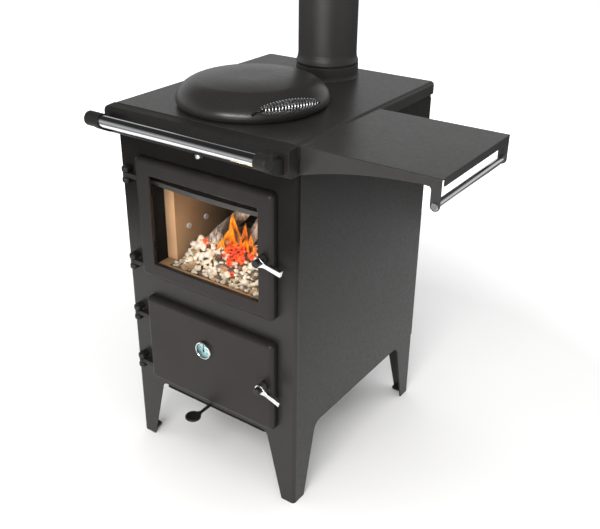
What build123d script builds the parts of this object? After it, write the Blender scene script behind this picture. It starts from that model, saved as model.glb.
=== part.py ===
from build123d import *
import math
import os

# ---------------------------------------------------------------------------
# Wood burning stove with oven, domed hob lid, hand rail and side shelf.
# Millimetres. +Z up, -Y is the front, floor at Z = 0.
# The sketches below use stove coordinates: x from the middle of the flue,
# y backwards from the front panel's face, z up from the floor. The base point
# of every working plane puts the middle of the whole footprint at the origin.
# ---------------------------------------------------------------------------

# frame
BX = -151.75          # flue centre line
BY = -243.75          # face of the front panel

# casing
HW = 250.0            # right side of the casing
LW = 256.5            # left side of the casing
DEPTH = 580.0         # front face to rear face
SHEET = 4.0           # casing sheet
BODY_TOP = 902.0      # top edge of the casing, under the hob
FRONT_BOTTOM = 190.0  # lower edge of the front panel between the legs
SIDE_BOTTOM = 196.5   # lower edge of the side panels between the legs
LEG_X_FLOOR = 212.0   # inner edge of the front and rear legs at the floor
LEG_X_TOP = 167.0     # the same edge at the panel
LEG_L_FLOOR = 217.5   # inner edge of the left legs at the floor
LEG_L_TOP = 171.0     # the same edge at the panel
RETURN = 14.0         # folded return of the front panel
BEND_R = 9.0          # outer bend of the casing corner

# door openings in the front panel, and the latch keep down the right of each
FO = (-176.0, 545.0, 202.0, 792.0)
OO = (-170.0, 240.0, 200.5, 440.0)
FIRE_KEEP = (191.5, 548.5, 202.0, 788.5)
OVEN_KEEP = (190.0, 243.5, 200.5, 436.5)

# doors (x0, z0, x1, z1)
FD = (-193.0, 515.5, 203.5, 820.5)
OD = (-188.0, 214.0, 202.5, 455.0)
DOOR_BACK = -3.0
DOOR_FRONT = -22.0
WIN = (-148.0, 555.5, 165.0, 781.5)     # window at the door's face
HINGE_X, HINGE_Y, HINGE_R = -225.0, -16.0, 9.5
PIN_R = 4.0
FIRE_HINGES = (767.0, 540.0)
OVEN_HINGES = (395.0, 250.0)

# handles
FH = (183.0, 670.0)
OH = (181.4, 342.0)
FIRE_DROOP, OVEN_DROOP = 12.0, 18.0     # slope of each lever at rest
SPINDLE_R = 4.0

# hob
HOB_TOP = 932.0
HOB_HW, HOB_LW = 254.5, 257.5
HOB_FRONT, HOB_REAR = -3.0, 593.0

# flue
FLUE_Y = 489.0
PIPE_R = 73.5
PIPE_WALL = 2.0
PIPE_TOP = 1205.0

# lid
LID_Y = 181.0
LID_R = 175.0
LID_GRIP_AZ = -27.05     # direction of the grip from the lid's centre
LID_HINGE_AZ = 150.0    # direction of the hinge
LID_HINGE_RAD = 196.0
LID_HINGE_Z = 951.0

# rail
RAIL_Y, RAIL_Z, RAIL_R = -90.0, 918.0, 13.0
CAPS = ((-1, 205.0, 248.0), (1, 220.0, 249.6))     # side, inner end, outer end
CAP_R = 16.5

# thermometer
TH = (-1.0, 368.5)

# pulls
DAMP = (-2.0, 857.4)
AIR = (-13.0, 184.0)

os.makedirs("parts", exist_ok=True)


def XY(z):
    return Plane(origin=(BX, BY, z), x_dir=(1, 0, 0), z_dir=(0, 0, 1))


def XZ(y):
    return Plane(origin=(BX, BY + y, 0), x_dir=(1, 0, 0), z_dir=(0, -1, 0))


def YZ(x):
    return Plane(origin=(BX + x, BY, 0), x_dir=(0, 1, 0), z_dir=(1, 0, 0))


def rect(u0, v0, u1, v1, mode=Mode.ADD):
    with Locations(((u0 + u1) / 2, (v0 + v1) / 2)):
        Rectangle(u1 - u0, v1 - v0, mode=mode)


def rrect(u0, v0, u1, v1, r, mode=Mode.ADD):
    with Locations(((u0 + u1) / 2, (v0 + v1) / 2)):
        RectangleRounded(u1 - u0, v1 - v0, r, mode=mode)


def disc(u, v, r, mode=Mode.ADD):
    with Locations((u, v)):
        Circle(r, mode=mode)


def poly(*pts):
    Polygon(*pts, align=None)


def near(verts, pts):
    out = []
    for p in pts:
        out.append(min(verts, key=lambda v: (v.X - p[0]) ** 2 + (v.Y - p[1]) ** 2))
    return out


def out(piece, name):
    piece.part.label = name
    export_step(piece.part, "parts/" + name + ".step")


# --------------------------------------------------------------- casing ----

# front panel: sheet with folded returns, two door openings and the front legs
with BuildPart() as front_panel:
    with BuildSketch(XY(0)) as fp_outer:
        rect(-LW, 0, HW, RETURN)
        fillet(fp_outer.vertices().group_by(Axis.Y)[0], BEND_R)
    extrude(amount=BODY_TOP)
    with BuildSketch(XY(0)) as fp_inner:
        rect(-LW + SHEET, SHEET, HW - SHEET, RETURN + 5)
        fillet(fp_inner.vertices().group_by(Axis.Y)[0], BEND_R - SHEET)
    extrude(amount=BODY_TOP, mode=Mode.SUBTRACT)
    with BuildSketch(XZ(-5)) as fp_arch:
        poly((-LEG_L_FLOOR - 0.24, -1), (-LEG_L_TOP, FRONT_BOTTOM),
             (LEG_X_TOP, FRONT_BOTTOM), (LEG_X_FLOOR + 0.24, -1))
        fillet(fp_arch.vertices().group_by(Axis.Y)[-1], 20)
    extrude(amount=-40, mode=Mode.SUBTRACT)
    with BuildSketch(XZ(-5)):
        rrect(*FO, 3)
        rrect(*OO, 3)
        disc(*DAMP, 4.4)
    extrude(amount=-40, mode=Mode.SUBTRACT)
out(front_panel, "front_panel")

# latch keeps: a bar down the right edge of each opening, in front of the latch tongue
with BuildPart() as latch_keeps:
    with BuildSketch(XZ(9)):
        rect(*FIRE_KEEP)
        rect(*OVEN_KEEP)
    extrude(amount=9)
out(latch_keeps, "latch_keeps")

SIDE = ((RETURN, 0), (42.5, 0), (88.4, SIDE_BOTTOM), (499.1, SIDE_BOTTOM), (545, 0),
        (DEPTH, 0), (DEPTH, BODY_TOP), (RETURN, BODY_TOP))

with BuildPart() as side_panel_left:
    with BuildSketch(YZ(-LW)) as spl:
        poly(*SIDE)
        fillet(near(spl.vertices(), (SIDE[2], SIDE[3])), 28)
    extrude(amount=SHEET)
out(side_panel_left, "side_panel_left")

SHELF_BOLTS = ((40.0, 884.0), (120.0, 884.0), (200.0, 884.0), (280.0, 884.0))
with BuildPart() as side_panel_right:
    with BuildSketch(YZ(HW - SHEET)) as spr:
        poly(*SIDE)
        fillet(near(spr.vertices(), (SIDE[2], SIDE[3])), 28)
        for p in SHELF_BOLTS:
            disc(*p, 3.1, mode=Mode.SUBTRACT)
    extrude(amount=SHEET)
out(side_panel_right, "side_panel_right")

SHIELD_BOLTS = ((-190.0, 260.0), (190.0, 260.0), (-190.0, 545.0), (190.0, 545.0),
                (-190.0, 830.0), (190.0, 830.0))
with BuildPart() as rear_panel:
    with BuildSketch(XZ(DEPTH)) as rp:
        poly((-LW + SHEET, 0), (-LEG_L_FLOOR, 0), (-LEG_L_TOP, FRONT_BOTTOM),
             (LEG_X_TOP, FRONT_BOTTOM), (LEG_X_FLOOR, 0), (HW - SHEET, 0),
             (HW - SHEET, BODY_TOP), (-LW + SHEET, BODY_TOP))
        fillet(near(rp.vertices(), ((-LEG_L_TOP, FRONT_BOTTOM), (LEG_X_TOP, FRONT_BOTTOM))), 20)
        for p in SHIELD_BOLTS:
            disc(*p, 3.1, mode=Mode.SUBTRACT)
    extrude(amount=SHEET)
out(rear_panel, "rear_panel")

# rear heat shield: channel that stands off the rear panel, open at top and bottom
with BuildPart() as rear_heat_shield:
    with BuildSketch(XY(195)) as rhs:
        rect(-254.5, DEPTH, 248, DEPTH + 11)
        fillet(rhs.vertices().group_by(Axis.Y)[-1], 4)
        rect(-252.5, DEPTH - 1, 246, DEPTH + 9, mode=Mode.SUBTRACT)
    extrude(amount=695)
    with BuildSketch(XZ(DEPTH + 15)):
        for p in SHIELD_BOLTS:
            disc(*p, 3.1)
    extrude(amount=10, mode=Mode.SUBTRACT)
out(rear_heat_shield, "rear_heat_shield")

# identical hexagon bolts: six through the heat shield, four through the shelf flange
with BuildPart() as panel_bolts:
    with BuildSketch(XZ(DEPTH - 5)):
        for p in SHIELD_BOLTS:
            disc(*p, 3.0)
    extrude(amount=-16)
    with BuildSketch(XZ(DEPTH + 11)):
        for p in SHIELD_BOLTS:
            with Locations(p):
                RegularPolygon(5.8, 6)
    extrude(amount=-3)
    with BuildSketch(YZ(HW - 13.5)):
        for p in SHELF_BOLTS:
            disc(*p, 3.0)
    extrude(amount=16)
    with BuildSketch(YZ(HW + 2.5)):
        for p in SHELF_BOLTS:
            with Locations(p):
                RegularPolygon(5.8, 6)
    extrude(amount=3)
out(panel_bolts, "panel_bolts")

# base plate with front skirt, air port and the two guides of the air shutter
with BuildPart() as base_plate:
    with BuildSketch(XY(191)):
        rect(-252.5, 14, 246, 576)
        rect(-240, 4.0, 240, 14)
        rect(-52, 118, 26, 172, mode=Mode.SUBTRACT)
    extrude(amount=3)
    with BuildSketch(XZ(8)):
        rect(-158, 177, 158, 191)
        disc(*AIR, 4.4, mode=Mode.SUBTRACT)
    extrude(amount=3)
    with BuildSketch(XZ(260)):
        rect(-76, 178, -72, 191)
        rect(-72, 178, -64, 180)
        rect(46, 178, 50, 191)
        rect(38, 178, 46, 180)
    extrude(amount=210)
out(base_plate, "base_plate")

# foot tabs: a holed tab welded inside each leg
TABS = ((-252.5, 10, -220, 34), (214, 10, 246, 34), (-252.5, 552, -220, 576), (214, 552, 246, 576))
TAB_HOLES = ((-236.0, 22.0), (230.0, 22.0), (-236.0, 564.0), (230.0, 564.0))
with BuildPart() as foot_tabs:
    with BuildSketch(XY(11)) as ft:
        for t in TABS:
            rect(*t)
        fillet(near(ft.vertices(), ((-220, 34), (214, 34), (-220, 552), (214, 552))), 8)
        for h in TAB_HOLES:
            disc(*h, 5.5, mode=Mode.SUBTRACT)
    extrude(amount=4)
out(foot_tabs, "foot_tabs")

# ------------------------------------------------------------------ hob ----

# hob plate: rounded edges, skirt all round, hotplate rebate and flue hole
with BuildPart() as hob_top:
    with BuildSketch(XY(BODY_TOP)) as hs:
        rect(-HOB_LW, HOB_FRONT, HOB_HW, HOB_REAR)
        fillet(hs.vertices().group_by(Axis.Y)[-1], 12)
    extrude(amount=HOB_TOP - BODY_TOP)
    fillet(hob_top.faces().sort_by(Axis.Z)[-1].edges().sort_by(Axis.Y)[1:], 9)
    with BuildSketch(XY(BODY_TOP)) as hi:
        rect(-246, 4, 242, 577)
        fillet(hi.vertices(), 8)
    extrude(amount=20, mode=Mode.SUBTRACT)
    with BuildSketch(XY(BODY_TOP)):
        disc(0, LID_Y, 140)
        disc(0, FLUE_Y, 71.7)
    extrude(amount=40, mode=Mode.SUBTRACT)
    with BuildSketch(XY(HOB_TOP - 5)):
        disc(0, LID_Y, 150)
    extrude(amount=10, mode=Mode.SUBTRACT)
out(hob_top, "hob_top")

# front nose: hollow fascia in front of the hob edge, carries the rail
NOSE = ((0, 866), (0, 902), (-3, 902), (-3, 931), (-35, 928.5), (-35, 874), (-28, 868))
with BuildPart() as hob_nose:
    with BuildSketch(YZ(-HOB_LW)) as ns:
        poly(*NOSE)
        fillet(near(ns.vertices(), (NOSE[4],)), 10)
        fillet(near(ns.vertices(), (NOSE[5], NOSE[6])), 3)
    extrude(amount=HOB_LW + HOB_HW)
    chamfer(hob_nose.faces().sort_by(Axis.X)[0].edges().sort_by(Axis.Y)[:4], 1.0)
    chamfer(hob_nose.faces().sort_by(Axis.X)[-1].edges().sort_by(Axis.Y)[:4], 1.0)
    with BuildSketch(YZ(-HOB_LW + 4)):
        poly((1, 872), (1, 898), (-7, 898), (-7, 926), (-31, 924), (-31, 876), (-26, 872))
    extrude(amount=HOB_LW + HOB_HW - 8, mode=Mode.SUBTRACT)
out(hob_nose, "hob_nose")

# hotplate under the lid
with BuildPart() as hotplate:
    with BuildSketch(XY(914)):
        disc(0, LID_Y, 139.5)
    extrude(amount=13)
    with BuildSketch(XY(927)):
        disc(0, LID_Y, 149.5)
    extrude(amount=4.4)
    chamfer(hotplate.faces().sort_by(Axis.Z)[-1].edges(), 1.0)
out(hotplate, "hotplate")

# flue collar: flange on the hob, spigot up into the pipe and down through the hob
FLUE_AXIS = Axis((BX, BY + FLUE_Y, 0), (0, 0, 1))
with BuildPart() as flue_collar:
    with BuildSketch(XZ(FLUE_Y)) as fcs:
        poly((68, 912), (71.1, 912), (71.1, 932), (81.5, 932), (80, 933.2), (79, 936),
             (78.5, 941), (78.5, 962), (77.5, 963), (71.1, 963), (71.1, 993), (68, 993))
    revolve(axis=FLUE_AXIS)
out(flue_collar, "flue_collar")

# flue pipe: standard round pipe with a swaged lip that stands on the collar
with BuildPart() as flue_pipe:
    with BuildSketch(XZ(FLUE_Y)):
        poly((PIPE_R - PIPE_WALL, 963), (74.9, 963), (74.9, 965.2), (77.3, 966.4), (78.2, 968.4),
             (78.2, 970.6), (77.4, 973), (75.7, 977), (74.1, 983), (PIPE_R, 991), (PIPE_R, PIPE_TOP),
             (PIPE_R - PIPE_WALL, PIPE_TOP))
    revolve(axis=FLUE_AXIS)
out(flue_pipe, "flue_pipe")

# ----------------------------------------------------------------- rail ----

with BuildPart() as hand_rail:
    with BuildSketch(YZ(-240)):
        disc(RAIL_Y, RAIL_Z, RAIL_R)
        disc(RAIL_Y, RAIL_Z, RAIL_R - 2, mode=Mode.SUBTRACT)
    extrude(amount=480)
out(hand_rail, "hand_rail")

# end brackets: round socket for the rail and an arm back to the nose
ARM = ((-92, 903), (-72, 889), (-54, 880), (-35, 877), (-35, 909), (-60, 916), (-92, 925))
with BuildPart() as rail_brackets:
    for s, c_in, c_out in CAPS:
        with BuildSketch(YZ(c_out * s)):
            disc(RAIL_Y, RAIL_Z, CAP_R)
        extrude(amount=-s * (c_out - c_in))
    fillet(rail_brackets.edges().filter_by(GeomType.CIRCLE).group_by(Axis.X)[0]
           + rail_brackets.edges().filter_by(GeomType.CIRCLE).group_by(Axis.X)[-1], 5)
    for s, c_in, c_out in CAPS:
        with BuildSketch(YZ(224 * s)) as arm:
            poly(*ARM)
            fillet(near(arm.vertices(), (ARM[1], ARM[2])), 8)
        extrude(amount=s * 19)
    for s, c_in, c_out in CAPS:
        with BuildSketch(YZ((c_in - 4) * s)):
            disc(RAIL_Y, RAIL_Z, RAIL_R + 0.03)
        extrude(amount=s * (240.5 - c_in + 4), mode=Mode.SUBTRACT)
out(rail_brackets, "rail_brackets")

# ----------------------------------------------------------- fire chamber ----

with BuildPart() as firebox_shell:
    with BuildSketch(XY(496)):
        rect(-190, 4, 225, 565)
    extrude(amount=426)
    with BuildSketch(XY(499)):
        rect(-187, 3, 222, 562)
    extrude(amount=430, mode=Mode.SUBTRACT)
out(firebox_shell, "firebox_shell")

with BuildPart() as floor_brick:
    with BuildSketch(XY(499)):
        rect(-187, 14, 222, 562)
    extrude(amount=27)
out(floor_brick, "floor_brick")

STUDS = ((113.5, 605.0), (178.5, 607.0))
with BuildPart() as side_bricks:
    with BuildSketch(XY(526)):
        rect(-187, 66, -157, 535)
        rect(192, 66, 222, 535)
    extrude(amount=300)
    with BuildSketch(YZ(-187)):
        for p in STUDS:
            disc(*p, 4.05)
    extrude(amount=420, mode=Mode.SUBTRACT)
out(side_bricks, "side_bricks")

with BuildPart() as rear_brick:
    with BuildSketch(XY(526)):
        rect(-187, 535, 222, 562)
    extrude(amount=300)
out(rear_brick, "rear_brick")

# air-wash plate: bowed lip behind the top of the glass, with a flat web behind it
with BuildPart() as airwash_plate:
    with BuildSketch(XZ(15)):
        with BuildLine():
            Line((222, 748), (222, 758))
            ThreePointArc((222, 758), (17.5, 752), (-187, 757))
            Line((-187, 757), (-187, 746))
            ThreePointArc((-187, 746), (17.5, 740), (222, 748))
        make_face()
    extrude(amount=3)
    with BuildSketch(XY(748.5)):
        rect(-187, 14, 222, 46)
    extrude(amount=2.5)
out(airwash_plate, "airwash_plate")

# round-headed studs that hold the side bricks to the shell
with BuildPart() as brick_studs:
    for x0, a in ((-187, 35), (222, -35)):
        with BuildSketch(YZ(x0)):
            for p in STUDS:
                disc(*p, 4.0)
        extrude(amount=a)
    for x0, a in ((-157, 5), (192, -5)):
        with BuildSketch(YZ(x0)):
            for p in STUDS:
                disc(*p, 7.0)
        extrude(amount=a)
out(brick_studs, "brick_studs")

# baffle plate with the bypass port
with BuildPart() as baffle_plate:
    with BuildSketch(XY(826)):
        rect(-187, 140, 222, 562)
        rect(-60, 330, 54, 400, mode=Mode.SUBTRACT)
    extrude(amount=20)
out(baffle_plate, "baffle_plate")

# bypass damper: plate with an upright lug, rod and ball knob
with BuildPart() as damper_plate:
    with BuildSketch(XY(846.4)):
        rrect(-80, 300, 74, 420, 6)
    extrude(amount=4)
    with BuildSketch(XZ(312)):
        rect(DAMP[0] - 12, 850.4, DAMP[0] + 12, 866)
    extrude(amount=12)
out(damper_plate, "damper_plate")

with BuildPart() as damper_rod:
    with BuildSketch(XZ(300)):
        disc(*DAMP, 4.0)
    extrude(amount=314)
out(damper_rod, "damper_rod")

with BuildPart() as damper_knob:
    with BuildSketch(XZ(-9.0)) as dks:
        with BuildLine():
            Line((DAMP[0], DAMP[1] - 8.0), (DAMP[0], DAMP[1] + 8.0))
            ThreePointArc((DAMP[0], DAMP[1] + 8.0), (DAMP[0] + 8.0, DAMP[1]), (DAMP[0], DAMP[1] - 8.0))
        make_face()
    revolve(axis=Axis((BX + DAMP[0], BY - 9.0, 0), (0, 0, 1)))
    with BuildSketch(XZ(-0.5)):
        disc(*DAMP, 7.0)
    extrude(amount=2.5)
    with BuildSketch(XZ(0)):
        disc(*DAMP, 4.02)
    extrude(amount=14.02, mode=Mode.SUBTRACT)
out(damper_knob, "damper_knob")

# ----------------------------------------------------------------- oven ----

with BuildPart() as oven_box:
    with BuildSketch(XZ(540)):
        rect(-180, 226, 225, 462)
    extrude(amount=536)
    with BuildSketch(XZ(538)):
        rect(-178, 228, 223, 460)
    extrude(amount=540, mode=Mode.SUBTRACT)
    with BuildSketch(XZ(520)):
        for z in (290, 340, 390):
            rect(-178, z - 3, -170, z)
            rect(215, z - 3, 223, z)
    extrude(amount=460)
out(oven_box, "oven_box")

# wire rack on the middle runners
with BuildPart() as oven_rack:
    with BuildSketch(YZ(-176)):
        for y in (80, 290, 500):
            disc(y, 343, 3.0)
    extrude(amount=397)
    with BuildSketch(XZ(512)):
        for i in range(16):
            disc(-163 + i * 24.8, 347.2, 2.0)
    extrude(amount=444)
out(oven_rack, "oven_rack")

# --------------------------------------------------------------- hinges ----

# fixed knuckles, a rounded pair for every hinge
with BuildPart() as door_hinge_knuckles:
    for zc in FIRE_HINGES + OVEN_HINGES:
        for z0 in (zc + 6, zc - 20.5):
            with BuildSketch(XY(z0)):
                disc(HINGE_X, HINGE_Y, HINGE_R)
                rect(HINGE_X - HINGE_R, HINGE_Y, HINGE_X + HINGE_R, 0)
            extrude(amount=14.5)
    fillet([e for f in door_hinge_knuckles.faces().filter_by(Axis.Z) for e in f.edges()
            if e.center().Y < BY - 0.1], 4.5)
    for zc in FIRE_HINGES + OVEN_HINGES:
        with BuildSketch(XY(zc - 25)):
            disc(HINGE_X, HINGE_Y, PIN_R + 0.02)
        extrude(amount=50, mode=Mode.SUBTRACT)
out(door_hinge_knuckles, "door_hinge_knuckles")

with BuildPart() as door_hinge_pins:
    for zc in FIRE_HINGES + OVEN_HINGES:
        with BuildSketch(XY(zc - 20.5)):
            disc(HINGE_X, HINGE_Y, PIN_R)
        extrude(amount=41)
        with BuildSketch(XY(zc + 20.5)):
            disc(HINGE_X, HINGE_Y, 4.9)
        extrude(amount=2)
out(door_hinge_pins, "door_hinge_pins")

# ------------------------------------------------------------ fire door ----

with BuildPart() as fire_door:
    with BuildSketch(XZ(DOOR_BACK)):
        rrect(*FD, 11.6)
    extrude(amount=DOOR_BACK - DOOR_FRONT)
    fillet(fire_door.faces().sort_by(Axis.Y)[0].edges(), 11)
    # window: straight reveal and the glass rebate at the back
    with BuildSketch(XZ(DOOR_FRONT - 1)):
        rrect(*WIN, 3)
    extrude(amount=-30, mode=Mode.SUBTRACT)
    fillet(fire_door.faces().sort_by(Axis.Y)[0].inner_wires()[0].edges(), 1.5)
    with BuildSketch(XZ(0)):
        rect(WIN[0] - 9, WIN[1] - 9, WIN[2] + 9, WIN[3] + 9)
    extrude(amount=15, mode=Mode.SUBTRACT)
    # seal groove
    with BuildSketch(XZ(0)):
        rrect(FD[0] + 4, FD[1] + 4, FD[2] - 4, FD[3] - 4, 12)
        rrect(FD[0] + 14, FD[1] + 14, FD[2] - 14, FD[3] - 14, 3, mode=Mode.SUBTRACT)
    extrude(amount=8, mode=Mode.SUBTRACT)
    # spindle boss
    with BuildSketch(XZ(DOOR_FRONT + 4)):
        disc(*FH, 12.5)
    extrude(amount=13)
    # hinge lugs
    for zc in FIRE_HINGES:
        with BuildSketch(XY(zc - 5.5)):
            disc(HINGE_X, HINGE_Y, 7.6)
            rect(HINGE_X, HINGE_Y - 4, -186, HINGE_Y + 6)
        extrude(amount=11)
    for zc in FIRE_HINGES:
        with BuildSketch(XY(zc - 8)):
            disc(HINGE_X, HINGE_Y, PIN_R + 0.05)
        extrude(amount=16, mode=Mode.SUBTRACT)
    with BuildSketch(XZ(0)):
        disc(*FH, SPINDLE_R + 0.05)
    extrude(amount=80, mode=Mode.SUBTRACT)
out(fire_door, "fire_door")

GLASS = (WIN[0] - 8.5, WIN[1] - 8.5, WIN[2] + 8.5, WIN[3] + 8.5)
with BuildPart() as fire_door_glass:
    with BuildSketch(XZ(-10.9)):
        rect(*GLASS)
    extrude(amount=4)
out(fire_door_glass, "fire_door_glass")

# glass clips down both sides of the door's back: tongue on the glass, foot on the door
CLIPS = ((-1, 600.0), (-1, 740.0), (1, 600.0), (1, 740.0))
with BuildPart() as glass_clips:
    for s, cz in CLIPS:
        xb = WIN[0] - 9 if s < 0 else WIN[2] + 9
        with BuildSketch(XZ(-8.6)):
            rect(min(xb - s * 12, xb - s * 0.4), cz - 12, max(xb - s * 12, xb - s * 0.4), cz + 12)
        extrude(amount=2.2)
        with BuildSketch(XZ(-1.0)):
            rect(min(xb - s * 2.6, xb - s * 0.4), cz - 12, max(xb - s * 2.6, xb - s * 0.4), cz + 12)
        extrude(amount=7.8)
        with BuildSketch(XZ(-1.0)):
            rect(min(xb - s * 2.6, xb + s * 12), cz - 12, max(xb - s * 2.6, xb + s * 12), cz + 12)
        extrude(amount=2.0)
        with BuildSketch(XZ(-0.55)):
            disc(xb + s * 7.5, cz, 4)
        extrude(amount=0.6)
out(glass_clips, "glass_clips")

with BuildPart() as fire_door_seal:
    with BuildSketch(XZ(-0.5)):
        rrect(FD[0] + 4.1, FD[1] + 4.1, FD[2] - 4.1, FD[3] - 4.1, 11.9)
        rrect(FD[0] + 13.9, FD[1] + 13.9, FD[2] - 13.9, FD[3] - 13.9, 3, mode=Mode.SUBTRACT)
    extrude(amount=7.5)
    fillet(fire_door_seal.faces().sort_by(Axis.Y)[-1].edges(), 1.5)
out(fire_door_seal, "fire_door_seal")


# --------------------------------------------------------------- handles ----

# lever outline: round head, concave shoulders, arm that widens to a square end
def lever_outline(hub, droop):
    a = math.radians(-droop)

    def at(u, v):
        return (hub[0] + u * math.cos(a) - v * math.sin(a),
                hub[1] + u * math.sin(a) + v * math.cos(a))

    with BuildLine() as edge:
        ThreePointArc(at(7.5, 10.0), at(-12.5, 0), at(7.5, -10.0))
        ThreePointArc(at(7.5, -10.0), at(14.5, -6.9), at(22.5, -5.7))
        Line(at(22.5, -5.7), at(59.0, -6.6))
        Line(at(59.0, -6.6), at(59.0, 6.6))
        Line(at(59.0, 6.6), at(22.5, 5.7))
        ThreePointArc(at(22.5, 5.7), at(14.5, 6.9), at(7.5, 10.0))
    make_face(edge.edges())


with BuildPart() as fire_handle:
    with BuildSketch(XZ(-36)):
        lever_outline(FH, FIRE_DROOP)
    extrude(amount=10)
    fillet(fire_handle.faces().sort_by(Axis.Y)[0].edges(), 1.8)
    fillet(fire_handle.faces().sort_by(Axis.Y)[-1].edges(), 1.2)
    with BuildSketch(XZ(-45)):
        disc(*FH, 9.05)
    extrude(amount=5, mode=Mode.SUBTRACT)
    with BuildSketch(XZ(-30)):
        disc(*FH, SPINDLE_R + 0.02)
    extrude(amount=16, mode=Mode.SUBTRACT)
    with BuildSketch(XZ(-31.4)):
        disc(*FH, 11)
        disc(*FH, SPINDLE_R + 0.02, mode=Mode.SUBTRACT)
    extrude(amount=5)
out(fire_handle, "fire_handle")

with BuildPart() as fire_handle_cap:
    with BuildSketch(XZ(-45)):
        disc(*FH, 9.0)
    extrude(amount=12)
    fillet(fire_handle_cap.faces().sort_by(Axis.Y)[0].edges(), 2.5)
out(fire_handle_cap, "fire_handle_cap")

with BuildPart() as fire_handle_spindle:
    with BuildSketch(XZ(15)):
        disc(*FH, SPINDLE_R)
    extrude(amount=60)
out(fire_handle_spindle, "fire_handle_spindle")

with BuildPart() as fire_latch_tongue:
    with BuildSketch(XZ(14)):
        disc(*FH, 6.5)
        rect(FH[0] - 4, FH[1], FH[0] + 4, FH[1] + 26)
        disc(*FH, SPINDLE_R + 0.02, mode=Mode.SUBTRACT)
    extrude(amount=4)
out(fire_latch_tongue, "fire_latch_tongue")

with BuildPart() as oven_handle:
    with BuildSketch(XZ(-36)):
        lever_outline(OH, OVEN_DROOP)
    extrude(amount=10)
    fillet(oven_handle.faces().sort_by(Axis.Y)[0].edges(), 1.8)
    fillet(oven_handle.faces().sort_by(Axis.Y)[-1].edges(), 1.2)
    with BuildSketch(XZ(-45)):
        disc(*OH, 9.05)
    extrude(amount=5, mode=Mode.SUBTRACT)
    with BuildSketch(XZ(-30)):
        disc(*OH, SPINDLE_R + 0.02)
    extrude(amount=16, mode=Mode.SUBTRACT)
    with BuildSketch(XZ(-31.4)):
        disc(*OH, 11)
        disc(*OH, SPINDLE_R + 0.02, mode=Mode.SUBTRACT)
    extrude(amount=5)
out(oven_handle, "oven_handle")

with BuildPart() as oven_handle_cap:
    with BuildSketch(XZ(-45)):
        disc(*OH, 9.0)
    extrude(amount=12)
    fillet(oven_handle_cap.faces().sort_by(Axis.Y)[0].edges(), 2.5)
out(oven_handle_cap, "oven_handle_cap")

with BuildPart() as oven_handle_spindle:
    with BuildSketch(XZ(15)):
        disc(*OH, SPINDLE_R)
    extrude(amount=60)
out(oven_handle_spindle, "oven_handle_spindle")

with BuildPart() as oven_latch_tongue:
    with BuildSketch(XZ(14)):
        disc(*OH, 6.5)
        rect(OH[0] - 4, OH[1], OH[0] + 4, OH[1] + 26)
        disc(*OH, SPINDLE_R + 0.02, mode=Mode.SUBTRACT)
    extrude(amount=4)
out(oven_latch_tongue, "oven_latch_tongue")

# ------------------------------------------------------------ oven door ----

with BuildPart() as oven_door:
    with BuildSketch(XZ(DOOR_BACK)):
        rrect(*OD, 11.6)
    extrude(amount=DOOR_BACK - DOOR_FRONT)
    fillet(oven_door.faces().sort_by(Axis.Y)[0].edges(), 11)
    with BuildSketch(XZ(0)):
        rrect(OD[0] + 4, OD[1] + 4, OD[2] - 4, OD[3] - 4, 12)
        rrect(OD[0] + 14, OD[1] + 14, OD[2] - 14, OD[3] - 14, 3, mode=Mode.SUBTRACT)
    extrude(amount=8, mode=Mode.SUBTRACT)
    with BuildSketch(XZ(DOOR_FRONT + 4)):
        disc(*OH, 12.5)
    extrude(amount=13)
    for zc in OVEN_HINGES:
        with BuildSketch(XY(zc - 5.5)):
            disc(HINGE_X, HINGE_Y, 7.6)
            rect(HINGE_X, HINGE_Y - 4, -181, HINGE_Y + 6)
        extrude(amount=11)
    for zc in OVEN_HINGES:
        with BuildSketch(XY(zc - 8)):
            disc(HINGE_X, HINGE_Y, PIN_R + 0.05)
        extrude(amount=16, mode=Mode.SUBTRACT)
    with BuildSketch(XZ(0)):
        disc(*OH, SPINDLE_R + 0.05)
    extrude(amount=80, mode=Mode.SUBTRACT)
    with BuildSketch(XZ(0)):
        disc(*TH, 4.1)
    extrude(amount=40, mode=Mode.SUBTRACT)
out(oven_door, "oven_door")

with BuildPart() as oven_door_liner:
    with BuildSketch(XZ(10)):
        rrect(-150, 256, 158, 424, 8)
        disc(*TH, 4.1, mode=Mode.SUBTRACT)
    extrude(amount=13)
    fillet(oven_door_liner.faces().sort_by(Axis.Y)[-1].outer_wire().edges(), 3)
out(oven_door_liner, "oven_door_liner")

with BuildPart() as oven_door_seal:
    with BuildSketch(XZ(-0.5)):
        rrect(OD[0] + 4.1, OD[1] + 4.1, OD[2] - 4.1, OD[3] - 4.1, 11.9)
        rrect(OD[0] + 13.9, OD[1] + 13.9, OD[2] - 13.9, OD[3] - 13.9, 3, mode=Mode.SUBTRACT)
    extrude(amount=7.5)
    fillet(oven_door_seal.faces().sort_by(Axis.Y)[-1].edges(), 1.5)
out(oven_door_seal, "oven_door_seal")

# thermometer: cup with a rolled bezel and a probe through the door
TH_AXIS = Axis((BX + TH[0], BY, TH[1]), (0, -1, 0))
with BuildPart() as thermometer_case:
    with BuildSketch(Plane(origin=(BX + TH[0], BY, TH[1]), x_dir=(1, 0, 0), z_dir=(0, 0, 1))) as tcs:
        poly((0, 45), (4, 43), (4, -22), (22.4, -22), (23, -23), (23, -27.6), (22.2, -29.2),
             (20.6, -29.6), (19.8, -29), (19.8, -28.8), (20.5, -28.8), (20.5, -24), (0, -24))
    revolve(axis=TH_AXIS)
out(thermometer_case, "thermometer_case")

with BuildPart() as thermometer_dial:
    with BuildSketch(XZ(-24)):
        disc(*TH, 20.4)
        disc(*TH, 0.85, mode=Mode.SUBTRACT)
    extrude(amount=0.9)
out(thermometer_dial, "thermometer_dial")

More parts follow.
